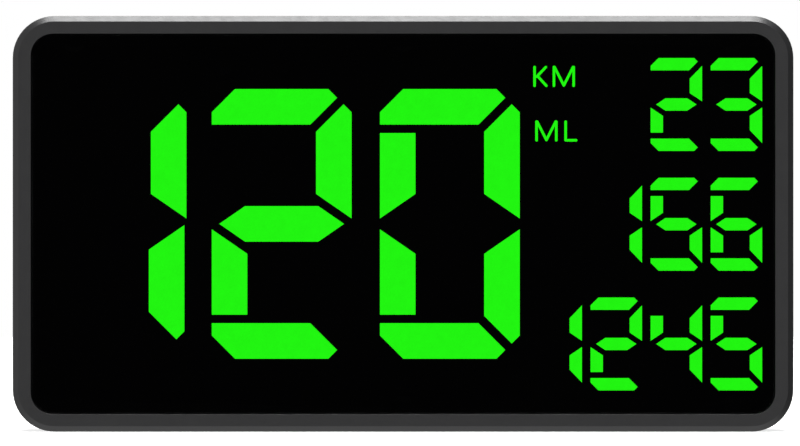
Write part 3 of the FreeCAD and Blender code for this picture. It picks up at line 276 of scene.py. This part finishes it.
def edgeMask(tree):
    # one where the surface turns sharply, nothing on the flat
    rounded = outOf(addNode(
        tree, "ShaderNodeBevel", {"Radius": wearLook["reach"]}, samples=wearLook["samples"]
    ))
    facing = outOf(addNode(tree, "ShaderNodeNewGeometry"), "Normal")
    alike = outOf(addNode(
        tree, "ShaderNodeVectorMath", {0: rounded, 1: facing}, operation="DOT_PRODUCT"
    ), "Value")
    turn = calc(tree, "MULTIPLY", calc(tree, "SUBTRACT", 1.0, alike), wearLook["sharpness"])
    return calc(tree, "MINIMUM", turn, 1.0)


def makeFinish(name, changes):
    look = {**basicLook, **changes}
    material = bpy.data.materials.new(name)
    material.use_nodes = True
    tree = material.node_tree
    tree.nodes.clear()
    shader = addNode(tree, "ShaderNodeBsdfPrincipled", {
        "Metallic": look["metal"], "Specular IOR Level": look["specular"],
        "Coat Weight": look["coat"], "Coat Roughness": look["coatRough"],
        "Alpha": look["alpha"],
    })
    addNode(tree, "ShaderNodeOutputMaterial", {"Surface": outOf(shader)})
    place = outOf(addNode(tree, "ShaderNodeTexCoord"), "Object")
    place = outOf(addNode(tree, "ShaderNodeMapping", {
        "Vector": place, "Rotation": look["turn"], "Scale": look["stretch"],
    }))

    patterns = {"crystals": crystalFactor, "traces": traceFactor}
    if look["pattern"] in patterns:
        factor = patterns[look["pattern"]](tree, place, look)
    else:
        factor = spread(tree, noise(tree, place, look["patch"], fineDetail), 0.0, 1.0)
    dark = tone(look["color"], 1 - look["variation"])
    light = tone(look["color"], 1 + look["variation"])
    color = mixColors(tree, factor, dark, light)
    rough = spread(
        tree, noise(tree, place, look["patch"] * look["roughPatch"], fineDetail),
        look["rough"] - look["roughSpread"], look["rough"] + look["roughSpread"],
    )
    if look["wear"]:
        worn = calc(tree, "MULTIPLY", edgeMask(tree), look["wear"])
        speckle = noise(tree, place, wearLook["patch"], wearLook["detail"])
        patchy = calc(tree, "MULTIPLY", worn, speckle)
        color = mixColors(tree, patchy, color, tone(look["color"], wearLook["lighter"]))
        rough = calc(tree, "SUBTRACT", rough, calc(tree, "MULTIPLY", patchy, wearLook["smoother"]))
    tree.links.new(color, shader.inputs["Base Color"])
    tree.links.new(rough, shader.inputs["Roughness"])
    if look["glow"]:
        tree.links.new(color, shader.inputs["Emission Color"])
        shader.inputs["Emission Strength"].default_value = look["glow"]

    height = noise(tree, place, look["grain"], fineDetail)
    bump = addNode(tree, "ShaderNodeBump", {"Height": height, "Distance": look["relief"]})
    if look["edge"]:
        rounded = outOf(addNode(tree, "ShaderNodeBevel", {"Radius": look["edge"]}, samples=edgeSamples))
        tree.links.new(rounded, bump.inputs["Normal"])
    tree.links.new(outOf(bump), shader.inputs["Normal"])
    return material


finishes = {name: makeFinish(name, look) for name, look in finishLooks.items()}
for part in frame["record"]["subparts"]:
    for holder in nodes[part["node"]].material_slots:
        holder.material = finishes[part["material_slot"]]
print("finishes made:", len(finishes))


# Geometry Nodes: trees, and the pieces that they make

socketKinds = {
    float: "NodeSocketFloat", int: "NodeSocketInt", bool: "NodeSocketBool", tuple: "NodeSocketVector",
}


def startTree(name, sizes):
    tree = bpy.data.node_groups.new(name, "GeometryNodeTree")
    face = tree.interface
    face.new_socket(name="Points", in_out="INPUT", socket_type="NodeSocketGeometry")
    face.new_socket(name="Geometry", in_out="OUTPUT", socket_type="NodeSocketGeometry")
    for label, value in sizes.items():
        face.new_socket(name=label, in_out="INPUT", socket_type=socketKinds[type(value)])
    face.new_socket(name="Material", in_out="INPUT", socket_type="NodeSocketMaterial")
    return tree, tree.nodes.new("NodeGroupInput")


def endTree(tree, entry, geometry):
    real = outOf(addNode(tree, "GeometryNodeRealizeInstances", {"Geometry": geometry}))
    painted = addNode(
        tree, "GeometryNodeSetMaterial", {"Geometry": real, "Material": outOf(entry, "Material")}
    )
    tree.links.new(outOf(painted), tree.nodes.new("NodeGroupOutput").inputs[0])
    return tree


def growPiece(name, tree, sizes, material, points, facings=None):
    # runs a tree on loose points and leaves a plain mesh, placed where the points are
    seeds = bpy.data.meshes.new(name + "Points")
    seeds.from_pydata([tuple(p) for p in points], [], [])
    if facings:
        facing = seeds.attributes.new("facing", "FLOAT_VECTOR", "POINT")
        facing.data.foreach_set("vector", [c for f in facings for c in f])
    piece = bpy.data.objects.new(name, seeds)
    bpy.context.scene.collection.objects.link(piece)
    modifier = piece.modifiers.new("shape", "NODES")
    modifier.node_group = tree
    values = {**sizes, "Material": material}
    for item in tree.interface.items_tree:
        if item.in_out == "INPUT" and item.name in values:
            value = values[item.name]
            modifier[item.identifier] = list(value) if isinstance(value, tuple) else value
    graph = bpy.context.evaluated_depsgraph_get()
    mesh = bpy.data.meshes.new_from_object(
        piece.evaluated_get(graph), preserve_all_data_layers=True, depsgraph=graph
    )
    piece.modifiers.clear()
    piece.data = mesh
    mesh.name = name
    print(f"{name}: {len(mesh.vertices)} points, {len(mesh.polygons)} faces")
    return piece


edgeSettings = {"roundAbove": math.radians(35), "sharpAbove": math.radians(32), "segments": 2}


def roundEdges(piece, width):
    modifier = piece.modifiers.new("edges", "BEVEL")
    modifier.width = width
    modifier.segments = edgeSettings["segments"]
    modifier.limit_method = "ANGLE"
    modifier.angle_limit = edgeSettings["roundAbove"]
    modifier.harden_normals = True


def smoothFaces(piece):
    piece.data.set_sharp_from_angle(angle=edgeSettings["sharpAbove"])


# screws and shoulder pins share one tree: a crowned head with a driver recess, and a shank

caseScrewSizes = {
    "Head Radius": 1.85 * mm, "Head Height": 1.3 * mm,
    "Shoulder": 0.35, "Crown": 0.42, "Crown Power": 2.4,   # where the rim curves in, how far, how late
    "Shank Radius": 0.98 * mm, "Shank Length": 8.0 * mm,   # the length is found from the box
    "Drive Width": 0.42 * mm, "Drive Reach": 1.05 * mm, "Drive Depth": 0.85 * mm,
    "Hex Drive": False, "Seed": 7,
}
hingePinSizes = {
    "Head Radius": 2.75 * mm, "Head Height": 1.5 * mm,
    "Shoulder": 0.72, "Crown": 0.16, "Crown Power": 2.4,
    "Shank Radius": 1.5 * mm, "Shank Length": 16.0 * mm,
    "Drive Width": 2.5 * mm, "Drive Reach": 1.25 * mm, "Drive Depth": 1.0 * mm,
    "Hex Drive": True, "Seed": 3,
}


fastenerDetail = {"headSides": 40, "headRings": 10, "shankSides": 24, "hexSides": 6}


def makeFastenerTree():
    tree, entry = startTree("fastener", caseScrewSizes)
    size = {label: outOf(entry, label) for label in caseScrewSizes}

    # the head stands on its seat at height nothing, and its rim curves in towards the top
    blank = addNode(tree, "GeometryNodeMeshCylinder", {
        "Vertices": fastenerDetail["headSides"], "Side Segments": fastenerDetail["headRings"],
        "Radius": size["Head Radius"], "Depth": size["Head Height"],
    }, fill_type="NGON")
    half = calc(tree, "MULTIPLY", size["Head Height"], 0.5)
    lift = outOf(addNode(tree, "ShaderNodeCombineXYZ", {"Z": half}))
    stood = addNode(tree, "GeometryNodeTransform", {"Geometry": outOf(blank, "Mesh"), "Translation": lift})
    position = outOf(addNode(tree, "GeometryNodeInputPosition"))
    split = addNode(tree, "ShaderNodeSeparateXYZ", {"Vector": position})
    share = calc(tree, "DIVIDE", outOf(split, "Z"), size["Head Height"])
    above = calc(tree, "MAXIMUM", calc(tree, "SUBTRACT", share, size["Shoulder"]), 0.0)
    part = calc(tree, "DIVIDE", above, calc(tree, "SUBTRACT", 1.0, size["Shoulder"]))
    narrowing = calc(tree, "MULTIPLY", calc(tree, "POWER", part, size["Crown Power"]), size["Crown"])
    factor = calc(tree, "SUBTRACT", 1.0, narrowing)
    moved = outOf(addNode(tree, "ShaderNodeCombineXYZ", {
        "X": calc(tree, "MULTIPLY", outOf(split, "X"), factor),
        "Y": calc(tree, "MULTIPLY", outOf(split, "Y"), factor),
        "Z": outOf(split, "Z"),
    }))
    head = addNode(tree, "GeometryNodeSetPosition", {"Geometry": outOf(stood), "Position": moved})

    # the shank reaches up to the middle of the head
    shank = addNode(tree, "GeometryNodeMeshCylinder", {
        "Vertices": fastenerDetail["shankSides"], "Radius": size["Shank Radius"],
        "Depth": size["Shank Length"],
    }, fill_type="NGON")
    shankShift = calc(tree, "MULTIPLY", calc(tree, "SUBTRACT", size["Shank Length"], half), -0.5)
    shankDown = outOf(addNode(tree, "ShaderNodeCombineXYZ", {"Z": shankShift}))
    shankPlaced = addNode(
        tree, "GeometryNodeTransform", {"Geometry": outOf(shank, "Mesh"), "Translation": shankDown}
    )
    whole = addNode(tree, "GeometryNodeMeshBoolean", operation="UNION")
    tree.links.new(outOf(head), pickSocket(whole.inputs, "Mesh"))
    tree.links.new(outOf(shankPlaced), pickSocket(whole.inputs, "Mesh"))

    # the driver recess: a cross of two blades, or a hexagon
    deep = calc(tree, "MULTIPLY", size["Drive Depth"], 2.0)
    reach = calc(tree, "MULTIPLY", size["Drive Reach"], 2.0)
    cutters = []
    for first, second in ((size["Drive Width"], reach), (reach, size["Drive Width"])):
        blade = outOf(addNode(tree, "ShaderNodeCombineXYZ", {"X": first, "Y": second, "Z": deep}))
        cutters.append(outOf(addNode(tree, "GeometryNodeMeshCube", {"Size": blade}), "Mesh"))
    cross = addNode(tree, "GeometryNodeMeshBoolean", operation="UNION")
    for cutter in cutters:
        tree.links.new(cutter, pickSocket(cross.inputs, "Mesh"))
    hexagon = addNode(tree, "GeometryNodeMeshCylinder", {
        "Vertices": fastenerDetail["hexSides"], "Radius": size["Drive Reach"], "Depth": deep,
    }, fill_type="NGON")
    recess = addNode(tree, "GeometryNodeSwitch", {
        "Switch": size["Hex Drive"], "False": outOf(cross, "Mesh"), "True": outOf(hexagon, "Mesh"),
    }, input_type="GEOMETRY")
    top = outOf(addNode(tree, "ShaderNodeCombineXYZ", {"Z": size["Head Height"]}))
    recessUp = addNode(
        tree, "GeometryNodeTransform", {"Geometry": outOf(recess, "Output"), "Translation": top}
    )
    cutHead = addNode(
        tree, "GeometryNodeMeshBoolean", {"Mesh 1": outOf(whole, "Mesh")}, operation="DIFFERENCE"
    )
    tree.links.new(outOf(recessUp), pickSocket(cutHead.inputs, "Mesh 2"))

    # one on each point, facing its own way, each driven home to a different angle
    facing = outOf(addNode(
        tree, "GeometryNodeInputNamedAttribute", {"Name": "facing"}, data_type="FLOAT_VECTOR"
    ), "Attribute")
    turned = outOf(addNode(tree, "FunctionNodeAlignRotationToVector", {"Vector": facing}, axis="Z"))
    angle = outOf(addNode(tree, "FunctionNodeRandomValue", {
        "Min": 0.0, "Max": math.tau, "Seed": size["Seed"],
    }, data_type="FLOAT"), "Value")
    spin = outOf(addNode(
        tree, "FunctionNodeAxisAngleToRotation", {"Axis": (0.0, 0.0, 1.0), "Angle": angle}
    ))
    spun = outOf(addNode(
        tree, "FunctionNodeRotateRotation", {"Rotation": turned, "Rotate By": spin}, rotation_space="LOCAL"
    ))
    placed = addNode(tree, "GeometryNodeInstanceOnPoints", {
        "Points": outOf(entry, "Points"), "Instance": outOf(cutHead, "Mesh"), "Rotation": spun,
    })
    return endTree(tree, entry, outOf(placed))


fastenerTree = makeFastenerTree()


def makeCaseScrews(sizes):
    low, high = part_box("case_screws")
    radius = sizes["Head Radius"]
    seat = high.y - sizes["Head Height"]
    sizes = {**sizes, "Shank Length": seat - low.y}
    columns = (low.x + radius, (low.x + high.x) / 2, high.x - radius)
    points = [Vector((x, seat, z)) for z in (low.z + radius, high.z - radius) for x in columns]
    facings = [(0, 1, 0)] * len(points)
    piece = growPiece("caseScrews", fastenerTree, sizes, finishes["black_screw"], points, facings)
    smoothFaces(piece)
    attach(piece, "head")
    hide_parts("case_screws")


def makeHingePins(sizes):
    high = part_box("hinge_pins")[1]
    middle = middleOf("hinge_pins")
    seat = high.x - sizes["Head Height"]
    innerEnd = min(abs(v.co.x) for v in nodes["hinge_pins"].data.vertices)
    sizes = {**sizes, "Shank Length": seat - innerEnd}
    points = [Vector((side * seat, middle.y, middle.z)) for side in (-1, 1)]
    facings = [(-1, 0, 0), (1, 0, 0)]
    piece = growPiece("hingePins", fastenerTree, sizes, finishes["plated_steel"], points, facings)
    smoothFaces(piece)
    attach(piece, "foot")
    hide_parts("hinge_pins")


makeCaseScrews(caseScrewSizes)
makeHingePins(hingePinSizes)


# a row of equal blocks about each point: cells, grid lines, contacts and finger ribs

rowSizes = {"Count": 8, "Step": (1.0, 0.0, 0.0), "Block": (1.0, 1.0, 1.0), "Seed": 11}


def makeRowTree():
    tree, entry = startTree("row", rowSizes)
    count = outOf(entry, "Count")
    before = calc(tree, "MULTIPLY", calc(tree, "SUBTRACT", count, 1.0), -0.5)
    start = outOf(addNode(
        tree, "ShaderNodeVectorMath", {0: outOf(entry, "Step"), "Scale": before}, operation="SCALE"
    ))
    line = addNode(tree, "GeometryNodeMeshLine", {
        "Count": count, "Start Location": start, "Offset": outOf(entry, "Step"),
    }, mode="OFFSET")
    block = addNode(tree, "GeometryNodeMeshCube", {"Size": outOf(entry, "Block")})
    row = addNode(tree, "GeometryNodeInstanceOnPoints", {
        "Points": outOf(line), "Instance": outOf(block, "Mesh"),
    })
    shade = outOf(addNode(tree, "FunctionNodeRandomValue", {
        "Min": 0.0, "Max": 1.0, "Seed": outOf(entry, "Seed"),
    }, data_type="FLOAT"), "Value")
    shaded = addNode(tree, "GeometryNodeStoreNamedAttribute", {
        "Geometry": outOf(row), "Name": "shade", "Value": shade,
    }, data_type="FLOAT", domain="INSTANCE")
    rows = addNode(tree, "GeometryNodeInstanceOnPoints", {
        "Points": outOf(entry, "Points"), "Instance": outOf(shaded),
    })
    return endTree(tree, entry, outOf(rows))


rowTree = makeRowTree()

solarSizes = {
    "cellCount": 8, "cellGap": 0.4 * mm, "fingers": 5, "fingerPitch": 1.9 * mm,
    "fingerWidth": 0.07 * mm, "fingerHeight": 0.02 * mm, "fingerMargin": 0.5 * mm, "seed": 5,
}


def makeSolarCells(sizes):
    low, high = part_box("solar_cells")
    size = high - low
    middle = middleOf("solar_cells")
    pitch = (size.x + sizes["cellGap"]) / sizes["cellCount"]
    cells = growPiece("solarCells", rowTree, {
        "Count": sizes["cellCount"], "Step": (pitch, 0.0, 0.0), "Seed": sizes["seed"],
        "Block": (pitch - sizes["cellGap"], size.y, size.z),
    }, finishes["silicon"], [middle])
    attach(cells, "head")
    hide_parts("solar_cells")

    firstX = low.x + (pitch - sizes["cellGap"]) / 2
    tall = size.z - 2 * sizes["fingerMargin"]
    onTop = high.y + sizes["fingerHeight"] / 2
    starts = [Vector((firstX + n * pitch, onTop, middle.z)) for n in range(sizes["cellCount"])]
    fingers = growPiece("cellGridLines", rowTree, {
        "Count": sizes["fingers"], "Step": (sizes["fingerPitch"], 0.0, 0.0), "Seed": sizes["seed"],
        "Block": (sizes["fingerWidth"], sizes["fingerHeight"], tall),
    }, finishes["silver_paste"], starts)
    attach(fingers, "head")


contactSizes = {
    "count": 12, "pitch": 0.5 * mm, "length": 3.6 * mm, "width": 0.25 * mm, "height": 0.04 * mm,
    "tongueThickness": 0.7 * mm, "setBack": 0.4 * mm, "seed": 2,
}


def makeSocketContacts(sizes):
    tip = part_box("socket_insert")[0].x
    shell = middleOf("socket_shell")
    across = tip + sizes["setBack"] + sizes["length"] / 2
    out = (sizes["tongueThickness"] + sizes["height"]) / 2
    points = [Vector((across, shell.y + side * out, shell.z)) for side in (-1, 1)]
    piece = growPiece("socketContacts", rowTree, {
        "Count": sizes["count"], "Step": (0.0, 0.0, sizes["pitch"]), "Seed": sizes["seed"],
        "Block": (sizes["length"], sizes["height"], sizes["width"]),
    }, finishes["gold_contact"], points)
    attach(piece, "head")


jogRibSizes = {
    "count": 3, "pitch": 0.7 * mm, "nearest": 1.9 * mm,   # from the middle of the cap
    "length": 2.4 * mm, "width": 0.36 * mm, "height": 0.2 * mm, "rounding": 0.1 * mm,
    "sunk": 0.1 * mm, "seed": 1,                          # how deep the ribs start inside the cap
}


def makeJogRibs(sizes):
    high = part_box("jog_lever")[1]
    middle = middleOf("jog_lever")
    deep = sizes["height"] + sizes["sunk"]
    offset = sizes["nearest"] + sizes["pitch"] * (sizes["count"] - 1) / 2
    across = high.x - deep / 2
    points = [Vector((across, middle.y, middle.z + side * offset)) for side in (-1, 1)]
    piece = growPiece("jogRibs", rowTree, {
        "Count": sizes["count"], "Step": (0.0, 0.0, sizes["pitch"]), "Seed": sizes["seed"],
        "Block": (deep, sizes["length"], sizes["width"]),
    }, finishes["control_plastic"], points)
    roundEdges(piece, sizes["rounding"])
    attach(piece, "jog_lever")


makeSolarCells(solarSizes)
makeSocketContacts(contactSizes)
makeJogRibs(jogRibSizes)


# the grip pad: a thin sheet with staggered studs that stand on the dashboard

treadSizes = {
    "Width": 78.0 * mm, "Depth": 36.4 * mm, "Corner": 4.0 * mm, "Thickness": 0.7 * mm,
    "Pitch": 2.4 * mm, "Row Pitch": 2.1 * mm, "Margin": 1.6 * mm,
    "Stud Radius": 0.82 * mm, "Stud Tip": 0.55 * mm, "Stud Height": 0.3 * mm, "Weld": 0.01 * mm,
}


treadDetail = {"cornerPoints": 10, "studSides": 8}


def makeTreadTree():
    tree, entry = startTree("tread", treadSizes)
    size = {label: outOf(entry, label) for label in treadSizes}
    outline = addNode(tree, "GeometryNodeCurvePrimitiveQuadrilateral", {
        "Width": size["Width"], "Height": size["Depth"],
    }, mode="RECTANGLE")
    rounded = addNode(tree, "GeometryNodeFilletCurve", {
        "Curve": outOf(outline, "Curve"), "Count": treadDetail["cornerPoints"],
        "Radius": size["Corner"],
    }, mode="POLY")
    face = outOf(addNode(tree, "GeometryNodeFillCurve", {"Curve": outOf(rounded)}, mode="NGONS"))
    up = outOf(addNode(tree, "ShaderNodeCombineXYZ", {"Z": size["Stud Height"]}))
    bottom = outOf(addNode(tree, "GeometryNodeTransform", {"Geometry": face, "Translation": up}))
    raised = addNode(tree, "GeometryNodeExtrudeMesh", {
        "Mesh": bottom, "Offset": (0.0, 0.0, 1.0), "Offset Scale": size["Thickness"], "Individual": False,
    }, mode="FACES")
    under = outOf(addNode(tree, "GeometryNodeFlipFaces", {"Mesh": bottom}))
    sheet = addNode(tree, "GeometryNodeJoinGeometry")
    tree.links.new(outOf(raised, "Mesh"), sheet.inputs[0])
    tree.links.new(under, sheet.inputs[0])
    closed = addNode(
        tree, "GeometryNodeMergeByDistance", {"Geometry": outOf(sheet), "Distance": size["Weld"]}
    )

    # a grid of points, every other row half a pitch over, and only those inside the outline
    columns = calc(tree, "CEIL", calc(tree, "DIVIDE", size["Width"], size["Pitch"]))
    rows = calc(tree, "CEIL", calc(tree, "DIVIDE", size["Depth"], size["Row Pitch"]))
    grid = addNode(tree, "GeometryNodeMeshGrid", {
        "Size X": calc(tree, "MULTIPLY", calc(tree, "SUBTRACT", columns, 1.0), size["Pitch"]),
        "Size Y": calc(tree, "MULTIPLY", calc(tree, "SUBTRACT", rows, 1.0), size["Row Pitch"]),
        "Vertices X": columns, "Vertices Y": rows,
    })
    position = outOf(addNode(tree, "GeometryNodeInputPosition"))
    split = addNode(tree, "ShaderNodeSeparateXYZ", {"Vector": position})
    row = calc(tree, "ROUND", calc(tree, "DIVIDE", outOf(split, "Y"), size["Row Pitch"]))
    odd = calc(tree, "FLOORED_MODULO", row, 2.0)
    halfPitch = calc(tree, "MULTIPLY", size["Pitch"], 0.5)
    aside = calc(tree, "MULTIPLY", calc(tree, "SUBTRACT", odd, 0.5), halfPitch)
    over = outOf(addNode(tree, "ShaderNodeCombineXYZ", {"X": aside}))
    staggered = addNode(tree, "GeometryNodeSetPosition", {"Geometry": outOf(grid, "Mesh"), "Offset": over})
    beyond = []
    for side, span in (("X", "Width"), ("Y", "Depth")):
        straight = calc(tree, "SUBTRACT", calc(tree, "MULTIPLY", size[span], 0.5), size["Corner"])
        beyond.append(calc(tree, "MAXIMUM", calc(
            tree, "SUBTRACT", calc(tree, "ABSOLUTE", outOf(split, side)), straight
        ), 0.0))
    squares = [calc(tree, "MULTIPLY", b, b) for b in beyond]
    past = calc(tree, "SQRT", calc(tree, "ADD", *squares))
    outside = calc(tree, "GREATER_THAN", past, calc(tree, "SUBTRACT", size["Corner"], size["Margin"]))
    kept = addNode(tree, "GeometryNodeDeleteGeometry", {
        "Geometry": outOf(staggered), "Selection": outside,
    }, domain="POINT")

    stud = addNode(tree, "GeometryNodeMeshCone", {
        "Vertices": treadDetail["studSides"], "Radius Top": size["Stud Radius"],
        "Radius Bottom": size["Stud Tip"], "Depth": size["Stud Height"],
    }, fill_type="NGON")
    studs = addNode(tree, "GeometryNodeInstanceOnPoints", {
        "Points": outOf(kept), "Instance": outOf(stud, "Mesh"),
    })
    both = addNode(tree, "GeometryNodeJoinGeometry")
    tree.links.new(outOf(closed), both.inputs[0])
    tree.links.new(outOf(studs), both.inputs[0])
    placed = addNode(tree, "GeometryNodeInstanceOnPoints", {
        "Points": outOf(entry, "Points"), "Instance": outOf(both),
    })
    return endTree(tree, entry, outOf(placed))


def makeTread(sizes):
    low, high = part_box("foot_pad")
    sizes = {
        **sizes, "Width": high.x - low.x, "Depth": high.y - low.y,
        "Thickness": high.z - low.z - sizes["Stud Height"],
    }
    point = Vector(((low.x + high.x) / 2, (low.y + high.y) / 2, low.z))
    piece = growPiece("footTread", makeTreadTree(), sizes, finishes["grip_rubber"], [point])
    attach(piece, "foot")
    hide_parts("foot_pad")


makeTread(treadSizes)


# floor, backdrop and studio light

studio = {
    "floorColor": (0.80, 0.80, 0.80), "floorGlow": 0.72, "floorRadius": 0.9, "floorSegments": 96,
    "backdropRadius": 4.6, "backdropSegments": 48, "backdropRings": 24,
    "topLight": 13.9, "topSize": 0.62, "topHeight": 1.0,
    "roomLight": 0.84,          # soft light from all round
    "rightShade": 0.70, "leftShade": 0.30, "upperShade": 0.62,   # taken off it on those sides
    "floorLight": 0.08,         # added to it from below
    "leastLight": 0.05,         # what is left of it in the darkest part
    "cameraShade": 0.97,        # share taken off it round the camera, so that the lens stays black
    "innerAngle": math.radians(7), "outerAngle": math.radians(13),   # of that dark patch
    "sideReach": (0.45, 0.95),  # how far a direction leans to a side where the shade begins and ends
    "topReach": (0.30, 0.75),
}


def stageMaterial(name, color, glow):
    material = bpy.data.materials.new(name)
    material.use_nodes = True
    shader = material.node_tree.nodes["Principled BSDF"]
    shader.inputs["Base Color"].default_value = (*color, 1.0)
    shader.inputs["Roughness"].default_value = 0.9
    shader.inputs["Specular IOR Level"].default_value = 0.0
    shader.inputs["Emission Color"].default_value = (1.0, 1.0, 1.0, 1.0)
    shader.inputs["Emission Strength"].default_value = glow
    return material


def stageObject(name, build, material):
    mesh = bpy.data.meshes.new(name)
    work = bmesh.new()
    build(work)
    work.to_mesh(mesh)
    work.free()
    mesh.materials.append(material)
    item = bpy.data.objects.new(name, mesh)
    bpy.context.scene.collection.objects.link(item)
    return item


def areaLight(name, spot, target, size, radiance):
    # a square light of a given brightness, seen by the object but not by the camera
    data = bpy.data.lights.new(name, "AREA")
    data.shape = "SQUARE"
    data.size = size
    data.energy = radiance * math.pi * size * size
    lamp = bpy.data.objects.new(name, data)
    bpy.context.scene.collection.objects.link(lamp)
    lamp.location = spot
    lamp.rotation_euler = (target - Vector(spot)).to_track_quat("-Z", "Y").to_euler()
    lamp.visible_camera = False
    return lamp


def paintRoom(tree, settings):
    # dimmer at the sides and above, a little brighter below, and dark just round the camera
    direction = outOf(addNode(tree, "ShaderNodeTexCoord"), "Generated")
    split = addNode(tree, "ShaderNodeSeparateXYZ", {"Vector": direction})

    def ramp(axis, start, stop, low, high):
        return outOf(addNode(tree, "ShaderNodeMapRange", {
            "Value": outOf(split, axis), "From Min": start, "From Max": stop,
            "To Min": low, "To Max": high,
        }, interpolation_type="SMOOTHSTEP"), "Result")

    begin, end = settings["sideReach"]
    shades = [
        ramp("X", begin, end, 0.0, settings["rightShade"]),
        ramp("X", -begin, -end, 0.0, settings["leftShade"]),
        ramp("Z", *settings["topReach"], 0.0, settings["upperShade"]),
        ramp("Z", -begin, -end, 0.0, -settings["floorLight"]),
    ]
    light = settings["roomLight"]
    for shade in shades:
        light = calc(tree, "SUBTRACT", light, shade)
    light = calc(tree, "MAXIMUM", light, settings["leastLight"])
    inner, outer = math.cos(settings["innerAngle"]), math.cos(settings["outerAngle"])
    light = calc(tree, "MULTIPLY", light, ramp("Y", -outer, -inner, 1.0, 1 - settings["cameraShade"]))
    background = tree.nodes["Background"]
    background.inputs["Color"].default_value = (1.0, 1.0, 1.0, 1.0)
    tree.links.new(light, background.inputs["Strength"])


def makeStudio(settings):
    world = bpy.data.worlds.new("studio")
    world.use_nodes = True
    bpy.context.scene.world = world
    paintRoom(world.node_tree, settings)

    floor = stageObject("floor", lambda work: bmesh.ops.create_circle(
        work, cap_ends=True, segments=settings["floorSegments"], radius=settings["floorRadius"],
    ), stageMaterial("floorPaint", settings["floorColor"], settings["floorGlow"]))
    backdrop = stageObject("backdrop", lambda work: bmesh.ops.create_uvsphere(
        work, u_segments=settings["backdropSegments"], v_segments=settings["backdropRings"],
        radius=settings["backdropRadius"],
    ), stageMaterial("backdropPaint", (0.0, 0.0, 0.0), 1.0))
    for item in (floor, backdrop):
        item.visible_diffuse = item.visible_glossy = item.visible_shadow = False

    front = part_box("front_bezel")[0].y
    areaLight("topLight", (0.0, front, settings["topHeight"]), Vector((0, front, 0)),
              settings["topSize"], settings["topLight"])

    view = bpy.context.scene.view_settings
    view.view_transform = "Standard"
    view.look = "None"
    view.exposure = 0.0
    view.gamma = 1.0


makeStudio(studio)
print("studio ready")
